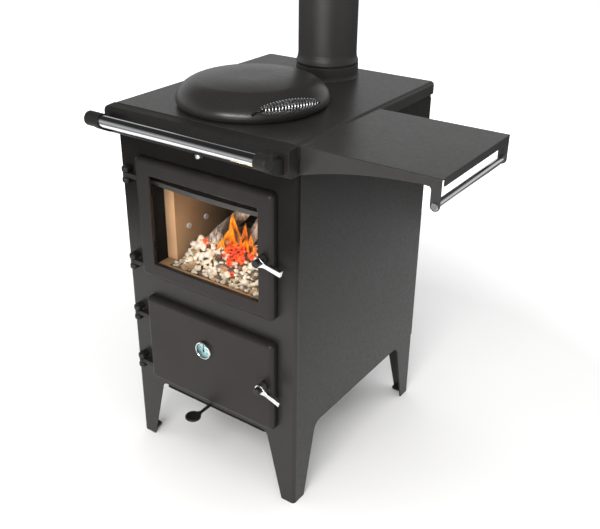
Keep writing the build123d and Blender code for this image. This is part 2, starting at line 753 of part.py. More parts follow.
with BuildPart() as thermometer_pointer:
    with BuildSketch(XZ(-25.6)):
        disc(*TH, 2.4)
        poly((TH[0] - 1.2, TH[1] - 5), (TH[0] + 1.2, TH[1] - 5), (TH[0] + 0.5, TH[1] + 16),
             (TH[0] - 0.5, TH[1] + 16))
    extrude(amount=0.8)
    with BuildSketch(XZ(-24.2)):
        disc(*TH, 0.8)
    extrude(amount=1.6)
out(thermometer_pointer, "thermometer_pointer")

with BuildPart() as thermometer_lens:
    with BuildSketch(XZ(-27.4)):
        disc(*TH, 20.4)
    extrude(amount=1.3)
out(thermometer_lens, "thermometer_lens")

# ---------------------------------------------------------- air control ----

with BuildPart() as air_shutter:
    with BuildSketch(XY(180.5)):
        rrect(-71.4, 100, 45.4, 196, 3)
    extrude(amount=10)
out(air_shutter, "air_shutter")

with BuildPart() as air_rod:
    with BuildSketch(XZ(100)):
        disc(*AIR, 4.0)
    extrude(amount=152)
out(air_rod, "air_rod")

with BuildPart() as air_knob:
    with BuildSketch(XY(185.5)):
        disc(AIR[0], -62, 19.5)
    extrude(amount=6.5)
    fillet(air_knob.edges().filter_by(GeomType.CIRCLE), 2.0)
    with BuildSketch(XY(190)):
        disc(AIR[0], -62, 13)
    extrude(amount=4, mode=Mode.SUBTRACT)
    with BuildSketch(XZ(-38)):
        disc(*AIR, 6.5)
    extrude(amount=24)
    with BuildSketch(XZ(-30)):
        disc(*AIR, 4.02)
    extrude(amount=22, mode=Mode.SUBTRACT)
out(air_knob, "air_knob")

# ------------------------------------------------------------------ lid ----

LID_AXIS = Axis((BX, BY + LID_Y, 0), (0, 0, 1))


def radial(az, rad, tang=0.0):
    """Point at a distance and a sideways offset from the lid's centre."""
    a = math.radians(az)
    return (BX + rad * math.cos(a) - tang * math.sin(a),
            BY + LID_Y + rad * math.sin(a) + tang * math.cos(a))


def lid_plane(az, rad, tang=0.0):
    """Plane across the tangent direction: local x radial, local y up."""
    a = math.radians(az)
    px, py = radial(az, rad, tang)
    return Plane(origin=(px, py, 0), x_dir=(math.cos(a), math.sin(a), 0),
                 z_dir=(math.sin(a), -math.cos(a), 0))


GRIP_RAD, GRIP_Z, GRIP_MID = 194.8, 974.0, -8.0
grip_pts = []
for rad, tang, z in ((149, -73, 950.0), (GRIP_RAD, -80, GRIP_Z),
                     (GRIP_RAD, 64, GRIP_Z), (152, 64, 950.0)):
    gx, gy = radial(LID_GRIP_AZ, rad, tang)
    grip_pts.append((gx, gy, z))
grip_dir = Vector(*grip_pts[1]) - Vector(*grip_pts[0])
grip_plane = Plane(origin=grip_pts[0], z_dir=grip_dir)
grip_plane_b = Plane(origin=grip_pts[3], z_dir=Vector(*grip_pts[2]) - Vector(*grip_pts[3]))

with BuildPart() as lid_dome:
    with BuildSketch(lid_plane(65, 0)):
        with BuildLine():
            Line((0, 995.7), (39, 995.7))
            ThreePointArc((39, 995.7), (82, 994.07), (125, 989.2))
            Bezier((125, 989.2), (147.75, 985.8), (LID_R, 968.1), (LID_R, 944.7))
            ThreePointArc((LID_R, 944.7), (173.2, 937.9), (167.2, 932.5))
            Line((167.2, 932.5), (163.2, 932.5))
            Line((163.2, 932.5), (163.2, 936.6))
            ThreePointArc((163.2, 936.6), (169.7, 939.9), (171.9, 944.7))
            Bezier((171.9, 944.7), (171.9, 966.5), (146.2, 982.9), (124.6, 986.1))
            ThreePointArc((124.6, 986.1), (82, 990.97), (39, 992.6))
            Line((39, 992.6), (0, 992.6))
            Line((0, 992.6), (0, 995.7))
        make_face()
    revolve(axis=LID_AXIS)
    # hinge lug
    with BuildSketch(lid_plane(LID_HINGE_AZ, 0, -12)) as lug:
        disc(LID_HINGE_RAD, LID_HINGE_Z, 8)
        rect(173.2, 944, LID_HINGE_RAD, 954)
    extrude(amount=-24)
    with BuildSketch(lid_plane(LID_HINGE_AZ, 0, -30)):
        disc(LID_HINGE_RAD, LID_HINGE_Z, PIN_R + 0.05)
    extrude(amount=-60, mode=Mode.SUBTRACT)
    # holes for the two ends of the bail
    with BuildSketch(grip_plane):
        Circle(3.1)
    extrude(amount=34, mode=Mode.SUBTRACT)
    with BuildSketch(grip_plane_b):
        Circle(3.1)
    extrude(amount=34, mode=Mode.SUBTRACT)
out(lid_dome, "lid_dome")

with BuildPart() as lid_liner:
    with BuildSketch(XY(933.4)):
        disc(0, LID_Y, 162.8)
    extrude(amount=2.6)
out(lid_liner, "lid_liner")

with BuildPart() as lid_handle_rod:
    with BuildLine():
        FilletPolyline(*grip_pts, radius=5.5)
    with BuildSketch(grip_plane):
        Circle(3.0)
    sweep()
out(lid_handle_rod, "lid_handle_rod")

# coil grip: barrel outline of the wound wire, round the bail
with BuildPart() as lid_handle_coil:
    ga = math.radians(LID_GRIP_AZ)
    gx, gy = radial(LID_GRIP_AZ, GRIP_RAD, GRIP_MID)
    with BuildSketch(Plane(origin=(gx, gy, GRIP_Z), x_dir=(-math.sin(ga), math.cos(ga), 0),
                           z_dir=(-math.cos(ga), -math.sin(ga), 0))):
        with BuildLine():
            Polyline((-66, 7.5), (-66, 3.3), (66, 3.3), (66, 7.5))
            ThreePointArc((66, 7.5), (0, 15.5), (-66, 7.5))
        make_face()
    revolve(axis=Axis((gx, gy, GRIP_Z), (-math.sin(ga), math.cos(ga), 0)))
out(lid_handle_coil, "lid_handle_coil")

# hinge bracket on the hob: base and two ears
with BuildPart() as lid_hinge_bracket:
    for t0, a in ((-20, -7.2), (12.8, -7.2)):
        with BuildSketch(lid_plane(LID_HINGE_AZ, 0, t0)):
            disc(LID_HINGE_RAD, LID_HINGE_Z, 8)
            rect(LID_HINGE_RAD - 6, HOB_TOP, LID_HINGE_RAD + 8, LID_HINGE_Z)
            disc(LID_HINGE_RAD, LID_HINGE_Z, PIN_R + 0.02, mode=Mode.SUBTRACT)
        extrude(amount=a)
    with BuildSketch(lid_plane(LID_HINGE_AZ, 0, -20)):
        rect(LID_HINGE_RAD - 6, HOB_TOP, LID_HINGE_RAD + 22, HOB_TOP + 4)
    extrude(amount=-40)
out(lid_hinge_bracket, "lid_hinge_bracket")

with BuildPart() as lid_hinge_pin:
    with BuildSketch(lid_plane(LID_HINGE_AZ, 0, -23)):
        disc(LID_HINGE_RAD, LID_HINGE_Z, PIN_R)
    extrude(amount=-46)
    with BuildSketch(lid_plane(LID_HINGE_AZ, 0, 20.2)):
        disc(LID_HINGE_RAD, LID_HINGE_Z, 6)
    extrude(amount=-3)
out(lid_hinge_pin, "lid_hinge_pin")

# ---------------------------------------------------------------- shelf ----

SH_X1, SH_Y0, SH_Y1 = 561.0, 4.3, 314.5
SH_TOP, SH_T = 929.0, 2.5
TOWEL = (550.0, 874.0, 7.5)


def shelf_web():
    """Front and rear webs: deep at the casing, slim at the edge, leg for the towel rail."""
    with BuildLine() as edge:
        Polyline((254.9, SH_TOP - SH_T), (254.9, 901), (250, 901), (250, 866))
        Spline((250, 866), (330, 887), (427, 903.5), (524, 911))
        Polyline((524, 911), (537, 910), (540, 905), (540, 874))
        ThreePointArc((540, 874), (550, 864), (560, 874))
        Polyline((560, 874), (560, SH_TOP - SH_T), (254.9, SH_TOP - SH_T))
    make_face(edge.edges())


with BuildPart() as side_shelf:
    with BuildSketch(XY(SH_TOP - SH_T)):
        rect(254.9, SH_Y0, SH_X1, SH_Y1)
    extrude(amount=SH_T)
    for y1 in (SH_Y0 + SH_T, SH_Y1):
        with BuildSketch(XZ(y1)):
            shelf_web()
            disc(TOWEL[0], TOWEL[1], TOWEL[2] + 0.05, mode=Mode.SUBTRACT)
        extrude(amount=SH_T)
    with BuildSketch(YZ(SH_X1 - SH_T)):
        rect(SH_Y0 + 12, 911.5, SH_Y1 - 12, SH_TOP - SH_T)
    extrude(amount=SH_T)
    with BuildSketch(YZ(HW)):
        rect(SH_Y0, 868, SH_Y1, 900)
        for p in SHELF_BOLTS:
            disc(*p, 3.1, mode=Mode.SUBTRACT)
    extrude(amount=SH_T)
    fillet(side_shelf.edges().filter_by(Axis.X).group_by(Axis.Z)[-1], 2.0)
out(side_shelf, "side_shelf")

with BuildPart() as towel_rail:
    with BuildSketch(XZ(SH_Y1 + 2)):
        disc(*TOWEL)
    extrude(amount=SH_Y1 - SH_Y0 + 4)
    chamfer(towel_rail.edges().filter_by(GeomType.CIRCLE), 0.8)
out(towel_rail, "towel_rail")
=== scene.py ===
import math
import random

import bmesh
import bpy
from mathutils import Matrix, Vector, noise


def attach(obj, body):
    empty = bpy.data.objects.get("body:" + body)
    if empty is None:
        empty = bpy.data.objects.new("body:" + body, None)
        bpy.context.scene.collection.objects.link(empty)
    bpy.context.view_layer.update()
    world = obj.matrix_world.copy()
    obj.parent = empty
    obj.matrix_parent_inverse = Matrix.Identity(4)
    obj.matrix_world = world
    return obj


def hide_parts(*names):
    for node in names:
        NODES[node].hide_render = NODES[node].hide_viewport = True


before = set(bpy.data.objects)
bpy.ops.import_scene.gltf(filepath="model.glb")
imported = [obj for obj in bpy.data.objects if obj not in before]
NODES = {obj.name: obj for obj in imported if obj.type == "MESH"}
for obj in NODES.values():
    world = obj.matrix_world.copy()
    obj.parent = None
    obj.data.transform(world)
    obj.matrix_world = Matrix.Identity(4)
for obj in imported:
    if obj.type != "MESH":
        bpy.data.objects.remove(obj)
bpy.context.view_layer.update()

SCENE = bpy.context.scene

# The stove's own coordinates: x from the middle of the flue, y backwards from
# the front panel's face, z up from the floor, in millimetres.
BX, BY = -151.75, -243.75


def P(x, y, z):
    return Vector(((x + BX) / 1000.0, (y + BY) / 1000.0, z / 1000.0))


# =============================================================== node helpers
def new_mat(name):
    m = bpy.data.materials.new(name)
    m.use_nodes = True
    nt = m.node_tree
    return m, nt, nt.nodes["Principled BSDF"]


def node(nt, kind, **props):
    n = nt.nodes.new(kind)
    for k, v in props.items():
        setattr(n, k, v)
    return n


def coords(nt, scale=None):
    tc = node(nt, "ShaderNodeTexCoord")
    if scale is None:
        return tc.outputs["Object"]
    mp = node(nt, "ShaderNodeMapping")
    mp.inputs["Scale"].default_value = scale
    nt.links.new(tc.outputs["Object"], mp.inputs["Vector"])
    return mp.outputs["Vector"]


def noise_tex(nt, vec, scale, detail=3.0, rough=0.55, distortion=0.0):
    n = node(nt, "ShaderNodeTexNoise")
    n.inputs["Scale"].default_value = scale
    n.inputs["Detail"].default_value = detail
    n.inputs["Roughness"].default_value = rough
    n.inputs["Distortion"].default_value = distortion
    nt.links.new(vec, n.inputs["Vector"])
    return n.outputs["Fac"]


def ramp(nt, fac, stops, interp="LINEAR"):
    r = node(nt, "ShaderNodeValToRGB")
    r.color_ramp.interpolation = interp
    els = r.color_ramp.elements
    while len(els) < len(stops):
        els.new(0.5)
    for e, (pos, col) in zip(els, stops):
        e.position = pos
        e.color = (*col, 1.0) if len(col) == 3 else col
    nt.links.new(fac, r.inputs["Fac"])
    return r.outputs["Color"]


def remap(nt, val, a, b, c, d):
    m = node(nt, "ShaderNodeMapRange")
    m.clamp = True
    for i, v in zip(("From Min", "From Max", "To Min", "To Max"), (a, b, c, d)):
        m.inputs[i].default_value = v
    nt.links.new(val, m.inputs["Value"])
    return m.outputs["Result"]


def mixc(nt, fac, a, b, mode="MIX"):
    """a and b are sockets or colours; fac is a socket."""
    m = node(nt, "ShaderNodeMix", data_type="RGBA", blend_type=mode)
    nt.links.new(fac, m.inputs["Factor"])
    for sock, v in ((m.inputs["A"], a), (m.inputs["B"], b)):
        pass
    ia, ib = [s for s in m.inputs if s.type == "RGBA"]
    for sock, v in ((ia, a), (ib, b)):
        if isinstance(v, tuple):
            sock.default_value = (*v, 1.0)
        else:
            nt.links.new(v, sock)
    return [s for s in m.outputs if s.type == "RGBA"][0]


def math_(nt, op, a, b=None):
    m = node(nt, "ShaderNodeMath", operation=op)
    for sock, v in ((m.inputs[0], a), (m.inputs[1], b)):
        if v is None:
            continue
        if isinstance(v, (int, float)):
            sock.default_value = v
        else:
            nt.links.new(v, sock)
    return m.outputs[0]


def bump(nt, height, strength, distance, normal=None):
    b = node(nt, "ShaderNodeBump")
    b.inputs["Strength"].default_value = strength
    b.inputs["Distance"].default_value = distance
    nt.links.new(height, b.inputs["Height"])
    if normal is not None:
        nt.links.new(normal, b.inputs["Normal"])
    return b.outputs["Normal"]


def edge_mask(nt, radius):
    """Rounded-edge normal, and a mask that is 1 on a sharp edge."""
    bv = node(nt, "ShaderNodeBevel", samples=4)
    bv.inputs["Radius"].default_value = radius
    geo = node(nt, "ShaderNodeNewGeometry")
    dot = node(nt, "ShaderNodeVectorMath", operation="DOT_PRODUCT")
    nt.links.new(bv.outputs["Normal"], dot.inputs[0])
    nt.links.new(geo.outputs["Normal"], dot.inputs[1])
    return bv.outputs["Normal"], remap(nt, dot.outputs["Value"], 0.75, 0.985, 1.0, 0.0)


# ================================================================== materials
def paint(name, dark, light, rough=(0.40, 0.52), spec=0.5, grain=700.0, depth=0.10,
          wear=(0.075, 0.072, 0.07), edge=0.0012, dull=None):
    """Heat-proof paint: fine eggshell grain, cloudy tone, rubbed edges."""
    m, nt, b = new_mat(name)
    co = coords(nt)
    cloud = noise_tex(nt, co, 7.0, 5.0, 0.6)
    fine = noise_tex(nt, co, grain, 2.0, 0.5)
    mid = noise_tex(nt, co, 120.0, 3.0, 0.6)
    tone = ramp(nt, cloud, [(0.30, dark), (0.70, light)])
    speck = remap(nt, fine, 0.35, 0.70, 0.0, 0.35)
    tone = mixc(nt, speck, tone, light)
    nrm, edge_f = edge_mask(nt, edge)
    worn = math_(nt, "MULTIPLY", edge_f, remap(nt, mid, 0.40, 0.62, 0.15, 0.8))
    tone = mixc(nt, worn, tone, wear)
    nt.links.new(tone, b.inputs["Base Color"])
    rgh = remap(nt, mid, 0.3, 0.7, rough[0], rough[1])
    nt.links.new(rgh, b.inputs["Roughness"])
    if dull:
        # painted shade: the sheen is cut higher up, towards the hob, to darken the tops of the panels where the nose,
        # rail and shelf shade them
        xyz = node(nt, "ShaderNodeSeparateXYZ")
        nt.links.new(co, xyz.inputs["Vector"])
        nt.links.new(remap(nt, xyz.outputs["Z"], dull[0], dull[1], spec, dull[2]), b.inputs["Specular IOR Level"])
    else:
        b.inputs["Specular IOR Level"].default_value = spec
    h = math_(nt, "ADD", fine, math_(nt, "MULTIPLY", mid, 0.35))
    nt.links.new(bump(nt, h, depth, 0.0006, nrm), b.inputs["Normal"])
    return m


def chrome(name, tint=(0.80, 0.80, 0.815), rough=(0.045, 0.10), smudge=60.0):
    """Polished chrome with faint handling marks."""
    m, nt, b = new_mat(name)
    co = coords(nt)
    cloud = noise_tex(nt, co, smudge, 4.0, 0.65, 0.4)
    fine = noise_tex(nt, co, 1800.0, 1.0)
    dull = tuple(c * 0.9 for c in tint)
    nt.links.new(ramp(nt, cloud, [(0.35, tint), (0.75, dull)]), b.inputs["Base Color"])
    b.inputs["Metallic"].default_value = 1.0
    nt.links.new(remap(nt, cloud, 0.35, 0.75, rough[0], rough[1]), b.inputs["Roughness"])
    nt.links.new(bump(nt, fine, 0.02, 0.0002), b.inputs["Normal"])
    return m


def steel(name, tint, rough=(0.24, 0.38), stretch=(1.0, 40.0, 1.0)):
    """Plain steel with a drawn grain."""
    m, nt, b = new_mat(name)
    co = coords(nt)
    grain = noise_tex(nt, coords(nt, stretch), 60.0, 3.0, 0.6)
    cloud = noise_tex(nt, co, 35.0, 4.0, 0.6)
    dark = tuple(c * 0.72 for c in tint)
    nt.links.new(ramp(nt, cloud, [(0.3, tint), (0.75, dark)]), b.inputs["Base Color"])
    b.inputs["Metallic"].default_value = 1.0
    nt.links.new(remap(nt, grain, 0.3, 0.7, rough[0], rough[1]), b.inputs["Roughness"])
    nt.links.new(bump(nt, grain, 0.06, 0.0003), b.inputs["Normal"])
    return m


def board(name):
    """Tan vermiculite board: pressed flakes, darker flecks, darker higher up, painted shade further back, painted
    highlight on the front edges.
    """
    m, nt, b = new_mat(name)
    co = coords(nt)
    cloud = noise_tex(nt, co, 18.0, 5.0, 0.6)
    vor = node(nt, "ShaderNodeTexVoronoi")
    vor.inputs["Scale"].default_value = 420.0
    nt.links.new(co, vor.inputs["Vector"])
    fleck = noise_tex(nt, co, 260.0, 2.0)
    tone = ramp(nt, cloud, [(0.25, (0.36, 0.228, 0.122)), (0.75, (0.50, 0.330, 0.184))])
    tone = mixc(nt, remap(nt, fleck, 0.60, 0.72, 0.0, 0.6), tone, (0.58, 0.42, 0.26))
    tone = mixc(nt, remap(nt, vor.outputs["Distance"], 0.30, 0.02, 0.0, 0.35), tone, (0.24, 0.13, 0.065))
    xyz = node(nt, "ShaderNodeSeparateXYZ")
    nt.links.new(co, xyz.inputs["Vector"])
    # darker higher up, and painted shade further back, mixed in as one darkening
    up = remap(nt, math_(nt, "ADD", xyz.outputs["Z"], math_(nt, "MULTIPLY", cloud, 0.10)),
               0.66, 0.85, 0.0, 0.72)
    painted_shade_back = remap(nt, math_(nt, "ADD", xyz.outputs["Y"], math_(nt, "MULTIPLY", cloud, 0.12)),
                  -0.11, 0.10, 0.0, 0.92)
    top_and_back_darkening = math_(nt, "MAXIMUM", up, painted_shade_back)
    tone = mixc(nt, top_and_back_darkening, tone, (0.030, 0.020, 0.014))
    # painted highlight: the front edges of the upright boards, facing the light through the glass, are painted bright
    # tan
    front = math_(nt, "MULTIPLY", remap(nt, xyz.outputs["Y"], -0.1750, -0.1765, 0.0, 1.0),
                  remap(nt, xyz.outputs["Z"], 0.527, 0.530, 0.0, 0.9))
    tone = mixc(nt, front, tone, (0.92, 0.56, 0.31))
    nt.links.new(tone, b.inputs["Base Color"])
    nt.links.new(remap(nt, fleck, 0.3, 0.7, 0.80, 0.95), b.inputs["Roughness"])
    b.inputs["Specular IOR Level"].default_value = 0.25
    h = math_(nt, "ADD", vor.outputs["Distance"], fleck)
    nt.links.new(bump(nt, h, 0.35, 0.0008), b.inputs["Normal"])
    return m


def clear_glass(name, haze=(0.02, 0.05), tint=(0.02, 0.021, 0.02)):
    """Clear pane with a faint uneven haze."""
    m, nt, b = new_mat(name)
    co = coords(nt)
    cloud = noise_tex(nt, co, 11.0, 4.0, 0.6, 0.6)
    b.inputs["Roughness"].default_value = 0.03
    b.inputs["Specular IOR Level"].default_value = 0.12
    b.inputs["IOR"].default_value = 1.5
    nt.links.new(ramp(nt, cloud, [(0.3, tint), (0.8, tuple(c * 2.2 for c in tint))]), b.inputs["Base Color"])
    nt.links.new(remap(nt, cloud, 0.30, 0.80, haze[0], haze[1]), b.inputs["Alpha"])
    return m


def matte(name, lo, hi, rough=(0.5, 0.7), scale=300.0, spec=0.4, depth=0.12):
    m, nt, b = new_mat(name)
    co = coords(nt)
    cloud = noise_tex(nt, co, 40.0, 4.0, 0.6)
    fine = noise_tex(nt, co, scale, 3.0)
    nt.links.new(ramp(nt, cloud, [(0.3, lo), (0.7, hi)]), b.inputs["Base Color"])
    nt.links.new(remap(nt, fine, 0.3, 0.7, rough[0], rough[1]), b.inputs["Roughness"])
    b.inputs["Specular IOR Level"].default_value = spec
    nt.links.new(bump(nt, fine, depth, 0.0005), b.inputs["Normal"])
    return m


M = {}
# painted shade: the casing and front paints lose their sheen towards the top (dull)
M["casing"] = paint("casing_satin_black_shaded_top", (0.0126, 0.0118, 0.0112), (0.0176, 0.0166, 0.0158),
                    rough=(0.36, 0.48), spec=0.44, dull=(0.24, 0.85, 0.13))
M["front"] = paint("front_satin_black_shaded_top", (0.0122, 0.0114, 0.0108), (0.0170, 0.0160, 0.0152),
                   rough=(0.36, 0.48), spec=0.43, dull=(0.52, 0.72, 0.0))
# painted shade: the base plate is a darker copy of the casing paint, for the shade under the oven door
M["base"] = paint("base_black_painted_shade", (0.0050, 0.0047, 0.0045), (0.0072, 0.0068, 0.0065),
                  rough=(0.60, 0.72), spec=0.10)
# painted sheen: the shelf is a lighter, glossier copy of the casing paint, for its brightly lit top
M["shelf"] = paint("shelf_black_painted_sheen", (0.0200, 0.0192, 0.0184), (0.0270, 0.0260, 0.0250),
                   rough=(0.28, 0.38), grain=520.0, depth=0.10, spec=0.64)
M["hob"] = paint("hob_textured_black", (0.0165, 0.0157, 0.0150), (0.0225, 0.0215, 0.0206),
                 rough=(0.29, 0.37), grain=520.0, depth=0.12)
M["nose"] = paint("nose_satin_black", (0.0100, 0.0095, 0.0091), (0.0140, 0.0134, 0.0129),
                  rough=(0.46, 0.56), spec=0.28)
M["door"] = paint("door_satin_black", (0.0122, 0.0114, 0.0108), (0.0170, 0.0160, 0.0152),
                  rough=(0.34, 0.46), grain=480.0, depth=0.14, spec=0.28)
M["door"].node_tree.nodes["Principled BSDF"].inputs["Specular Tint"].default_value = (1.0, 0.90, 0.885, 1.0)
M["lid"] = paint("lid_smooth_black", (0.0150, 0.0142, 0.0136), (0.0200, 0.0190, 0.0182),
                 rough=(0.27, 0.34), grain=900.0, depth=0.05)
M["pipe"] = paint("flue_satin_black", (0.0200, 0.0186, 0.0178), (0.0270, 0.0252, 0.0242),
                  rough=(0.36, 0.46), spec=0.44)
M["airwash"] = paint("airwash_grey", (0.045, 0.045, 0.043), (0.062, 0.062, 0.060), rough=(0.5, 0.62))
M["chrome"] = chrome("polished_chrome")
M["coil"] = chrome("coil_chrome", tint=(0.92, 0.92, 0.93), rough=(0.26, 0.36))
M["ball"] = chrome("satin_ball", tint=(0.86, 0.86, 0.86), rough=(0.26, 0.36))
M["steel"] = steel("drawn_steel", (0.48, 0.48, 0.49))
M["oven"] = steel("oven_steel", (0.30, 0.30, 0.31), rough=(0.34, 0.50))
# smoke-blackened steel, made darker still as painted shade for the shaded reveal and clips inside the door
M["smoke_and_shade"] = matte("smoke_and_shade_black", (0.0035, 0.0032, 0.0030), (0.0075, 0.0070, 0.0066), (0.75, 0.92), spec=0.10)
M["rodblack"] = matte("bail_black", (0.008, 0.008, 0.008), (0.016, 0.016, 0.016), (0.35, 0.5))
M["stud"] = matte("stud_bright", (0.42, 0.42, 0.41), (0.58, 0.58, 0.56), (0.22, 0.34), spec=0.9)
M["board"] = board("vermiculite_board")
M["glass"] = clear_glass("door_pane")
M["lens"] = clear_glass("dial_lens", haze=(0.04, 0.07), tint=(0.05, 0.055, 0.055))
M["cap"] = matte("knob_black", (0.007, 0.007, 0.007), (0.014, 0.014, 0.014), (0.32, 0.48))
M["pointer"] = matte("pointer_black", (0.010, 0.010, 0.010), (0.022, 0.022, 0.022), (0.4, 0.55), 900.0)


def dial_mat():
    """Pale blue-green printed face, with painted shade darkening it towards the lower left."""
    m, nt, b = new_mat("dial_blue_green")
    co = coords(nt)
    cloud = noise_tex(nt, co, 160.0, 4.0, 0.6)
    xyz = node(nt, "ShaderNodeSeparateXYZ")
    nt.links.new(co, xyz.inputs["Vector"])
    c = P(-1.0, -24.9, 368.5)
    # painted shade: the face darkens along a diagonal ramp towards the lower left
    shade_slope = math_(nt, "SUBTRACT", math_(nt, "ADD", xyz.outputs["X"], xyz.outputs["Z"]), c.x + c.z)
    shade_slope = math_(nt, "ADD", shade_slope, math_(nt, "MULTIPLY", cloud, 0.006))
    f = remap(nt, shade_slope, -0.020, 0.016, 0.0, 1.0)
    tone = ramp(nt, f, [(0.0, (0.075, 0.165, 0.170)), (0.45, (0.24, 0.43, 0.44)), (1.0, (0.50, 0.74, 0.75))])
    nt.links.new(tone, b.inputs["Base Color"])
    nt.links.new(remap(nt, cloud, 0.3, 0.7, 0.32, 0.45), b.inputs["Roughness"])
    return m


M["dial"] = dial_mat()


def rope_mat():
    """Grey knitted glass-fibre rope."""
    m, nt, b = new_mat("glass_fibre_rope")
    co = coords(nt)
    fibre = noise_tex(nt, co, 900.0, 3.0, 0.7)
    cloud = noise_tex(nt, co, 40.0, 3.0)
    tone = ramp(nt, cloud, [(0.3, (0.10, 0.097, 0.092)), (0.7, (0.19, 0.185, 0.175))])
    tone = mixc(nt, remap(nt, fibre, 0.45, 0.75, 0.0, 0.6), tone, (0.30, 0.295, 0.285))
    nt.links.new(tone, b.inputs["Base Color"])
    nt.links.new(remap(nt, fibre, 0.3, 0.7, 0.8, 0.95), b.inputs["Roughness"])
    nt.links.new(bump(nt, fibre, 0.6, 0.0006), b.inputs["Normal"])
    return m


M["rope"] = rope_mat()

BY_NODE = {
    "front_panel": "front", "latch_keeps": "smoke_and_shade", "side_panel_left": "casing", "side_panel_right": "casing",
    "rear_panel": "casing", "rear_heat_shield": "casing", "base_plate": "base",
    "foot_tabs": "casing", "flue_pipe": "pipe", "flue_collar": "pipe", "side_shelf": "shelf",
    "door_hinge_knuckles": "cap", "lid_hinge_bracket": "casing", "hob_top": "hob",
    "hob_nose": "nose", "hotplate": "hob", "fire_door": "door", "oven_door": "door",
    "rail_brackets": "nose", "lid_dome": "lid", "hand_rail": "chrome", "towel_rail": "chrome",
    "fire_handle": "chrome", "oven_handle": "chrome", "damper_knob": "ball",
    "thermometer_case": "chrome", "lid_handle_coil": "coil", "door_hinge_pins": "rodblack",
    "lid_hinge_pin": "steel", "lid_liner": "steel", "brick_studs": "stud",
    "panel_bolts": "rodblack", "fire_handle_spindle": "steel",
    "oven_handle_spindle": "steel", "fire_latch_tongue": "steel", "oven_latch_tongue": "steel",
    "damper_rod": "steel", "glass_clips": "smoke_and_shade", "oven_rack": "steel", "oven_door_liner": "oven",
    "firebox_shell": "smoke_and_shade", "airwash_plate": "airwash", "damper_plate": "smoke_and_shade",
    "oven_box": "oven", "air_shutter": "smoke_and_shade", "lid_handle_rod": "rodblack", "air_rod": "rodblack",
    "side_bricks": "board", "rear_brick": "board", "floor_brick": "board", "baffle_plate": "board",
    "fire_door_glass": "glass", "thermometer_lens": "lens", "thermometer_dial": "dial",
    "thermometer_pointer": "pointer", "fire_door_seal": "rope", "oven_door_seal": "rope",
    "fire_handle_cap": "cap", "oven_handle_cap": "cap", "air_knob": "cap",
}
for name, ob in NODES.items():
    mat = M[BY_NODE[name]]
    ob.data.materials.clear()
    ob.data.materials.append(mat)


# =============================================================== mesh helpers
def make(name, verts, faces, mat, body, smooth=True):
    me = bpy.data.meshes.new(name)
    me.from_pydata([tuple(v) for v in verts], [], faces)
    me.validate()
    bm = bmesh.new()
    bm.from_mesh(me)
    bmesh.ops.recalc_face_normals(bm, faces=bm.faces)
    bm.to_mesh(me)
    bm.free()
    if smooth:
        for p in me.polygons:
            p.use_smooth = True
    me.materials.append(mat)
    ob = bpy.data.objects.new(name, me)
    SCENE.collection.objects.link(ob)
    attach(ob, body)
    return ob


def tube(path, ring, closed=False):
    """Sweeps ring(i, n) -> list of (u, v) along the path; returns vertices and faces."""
    n = len(path)
    tang = []
    for i in range(n):
        a = path[(i - 1) % n] if (closed or i > 0) else path[i]
        b = path[(i + 1) % n] if (closed or i < n - 1) else path[i]
        tang.append((b - a).normalized())
    ref = Vector((0, 0, 1)) if abs(tang[0].z) < 0.9 else Vector((0, 1, 0))
    u = (ref - tang[0] * ref.dot(tang[0])).normalized()
    verts, faces = [], []
    sides = None
    for i in range(n):
        u = (u - tang[i] * u.dot(tang[i])).normalized()
        w = tang[i].cross(u)
        pts = ring(i, n)
        sides = len(pts)
        for a, b in pts:
            verts.append(path[i] + u * a + w * b)
    last = n if closed else n - 1
    for i in range(last):
        j = (i + 1) % n
        for k in range(sides):
            l = (k + 1) % sides
            faces.append((i * sides + k, i * sides + l, j * sides + l, j * sides + k))
    if not closed:
        faces.append(tuple(range(sides))[::-1])
        faces.append(tuple((n - 1) * sides + k for k in range(sides)))
    return verts, faces


def circle(r, sides):
    return [(r * math.cos(2 * math.pi * k / sides), r * math.sin(2 * math.pi * k / sides)) for k in range(sides)]


# ================================================================= coil grip
LID_Y, GRIP_AZ, GRIP_RAD, GRIP_Z, GRIP_MID = 181.0, -27.05, 194.8, 974.0, -8.0
ga = math.radians(GRIP_AZ)
grip_c = P(GRIP_RAD * math.cos(ga) - GRIP_MID * math.sin(ga),
           LID_Y + GRIP_RAD * math.sin(ga) + GRIP_MID * math.cos(ga), GRIP_Z)
grip_t = Vector((-math.sin(ga), math.cos(ga), 0.0))
grip_r = Vector((math.cos(ga), math.sin(ga), 0.0))
grip_u = Vector((0.0, 0.0, 1.0))
TURNS, WIRE = 18, 1.45
coil_path = []
STEPS = TURNS * 26
for i in range(STEPS + 1):
    t = i / STEPS
    s = -64.2 + 128.4 * t
    r = 7.4 + 8.0 * (1.0 - (s / 66.0) ** 2) - WIRE
    lead = min(t, 1.0 - t) * TURNS
    if lead < 1.0:
        k = lead * lead * (3 - 2 * lead)
        r = 5.75 + (r - 5.75) * k
    a = 2 * math.pi * TURNS * t + 0.6
    coil_path.append(grip_c + grip_t * (s / 1000.0)
                     + (grip_r * math.cos(a) + grip_u * math.sin(a)) * (r / 1000.0))
wire_ring = circle(WIRE / 1000.0, 9)
v, f = tube(coil_path, lambda i, n: wire_ring)
coil = make("lid_coil_wire", v, f, M["coil"], "lid")
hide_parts("lid_handle_coil")


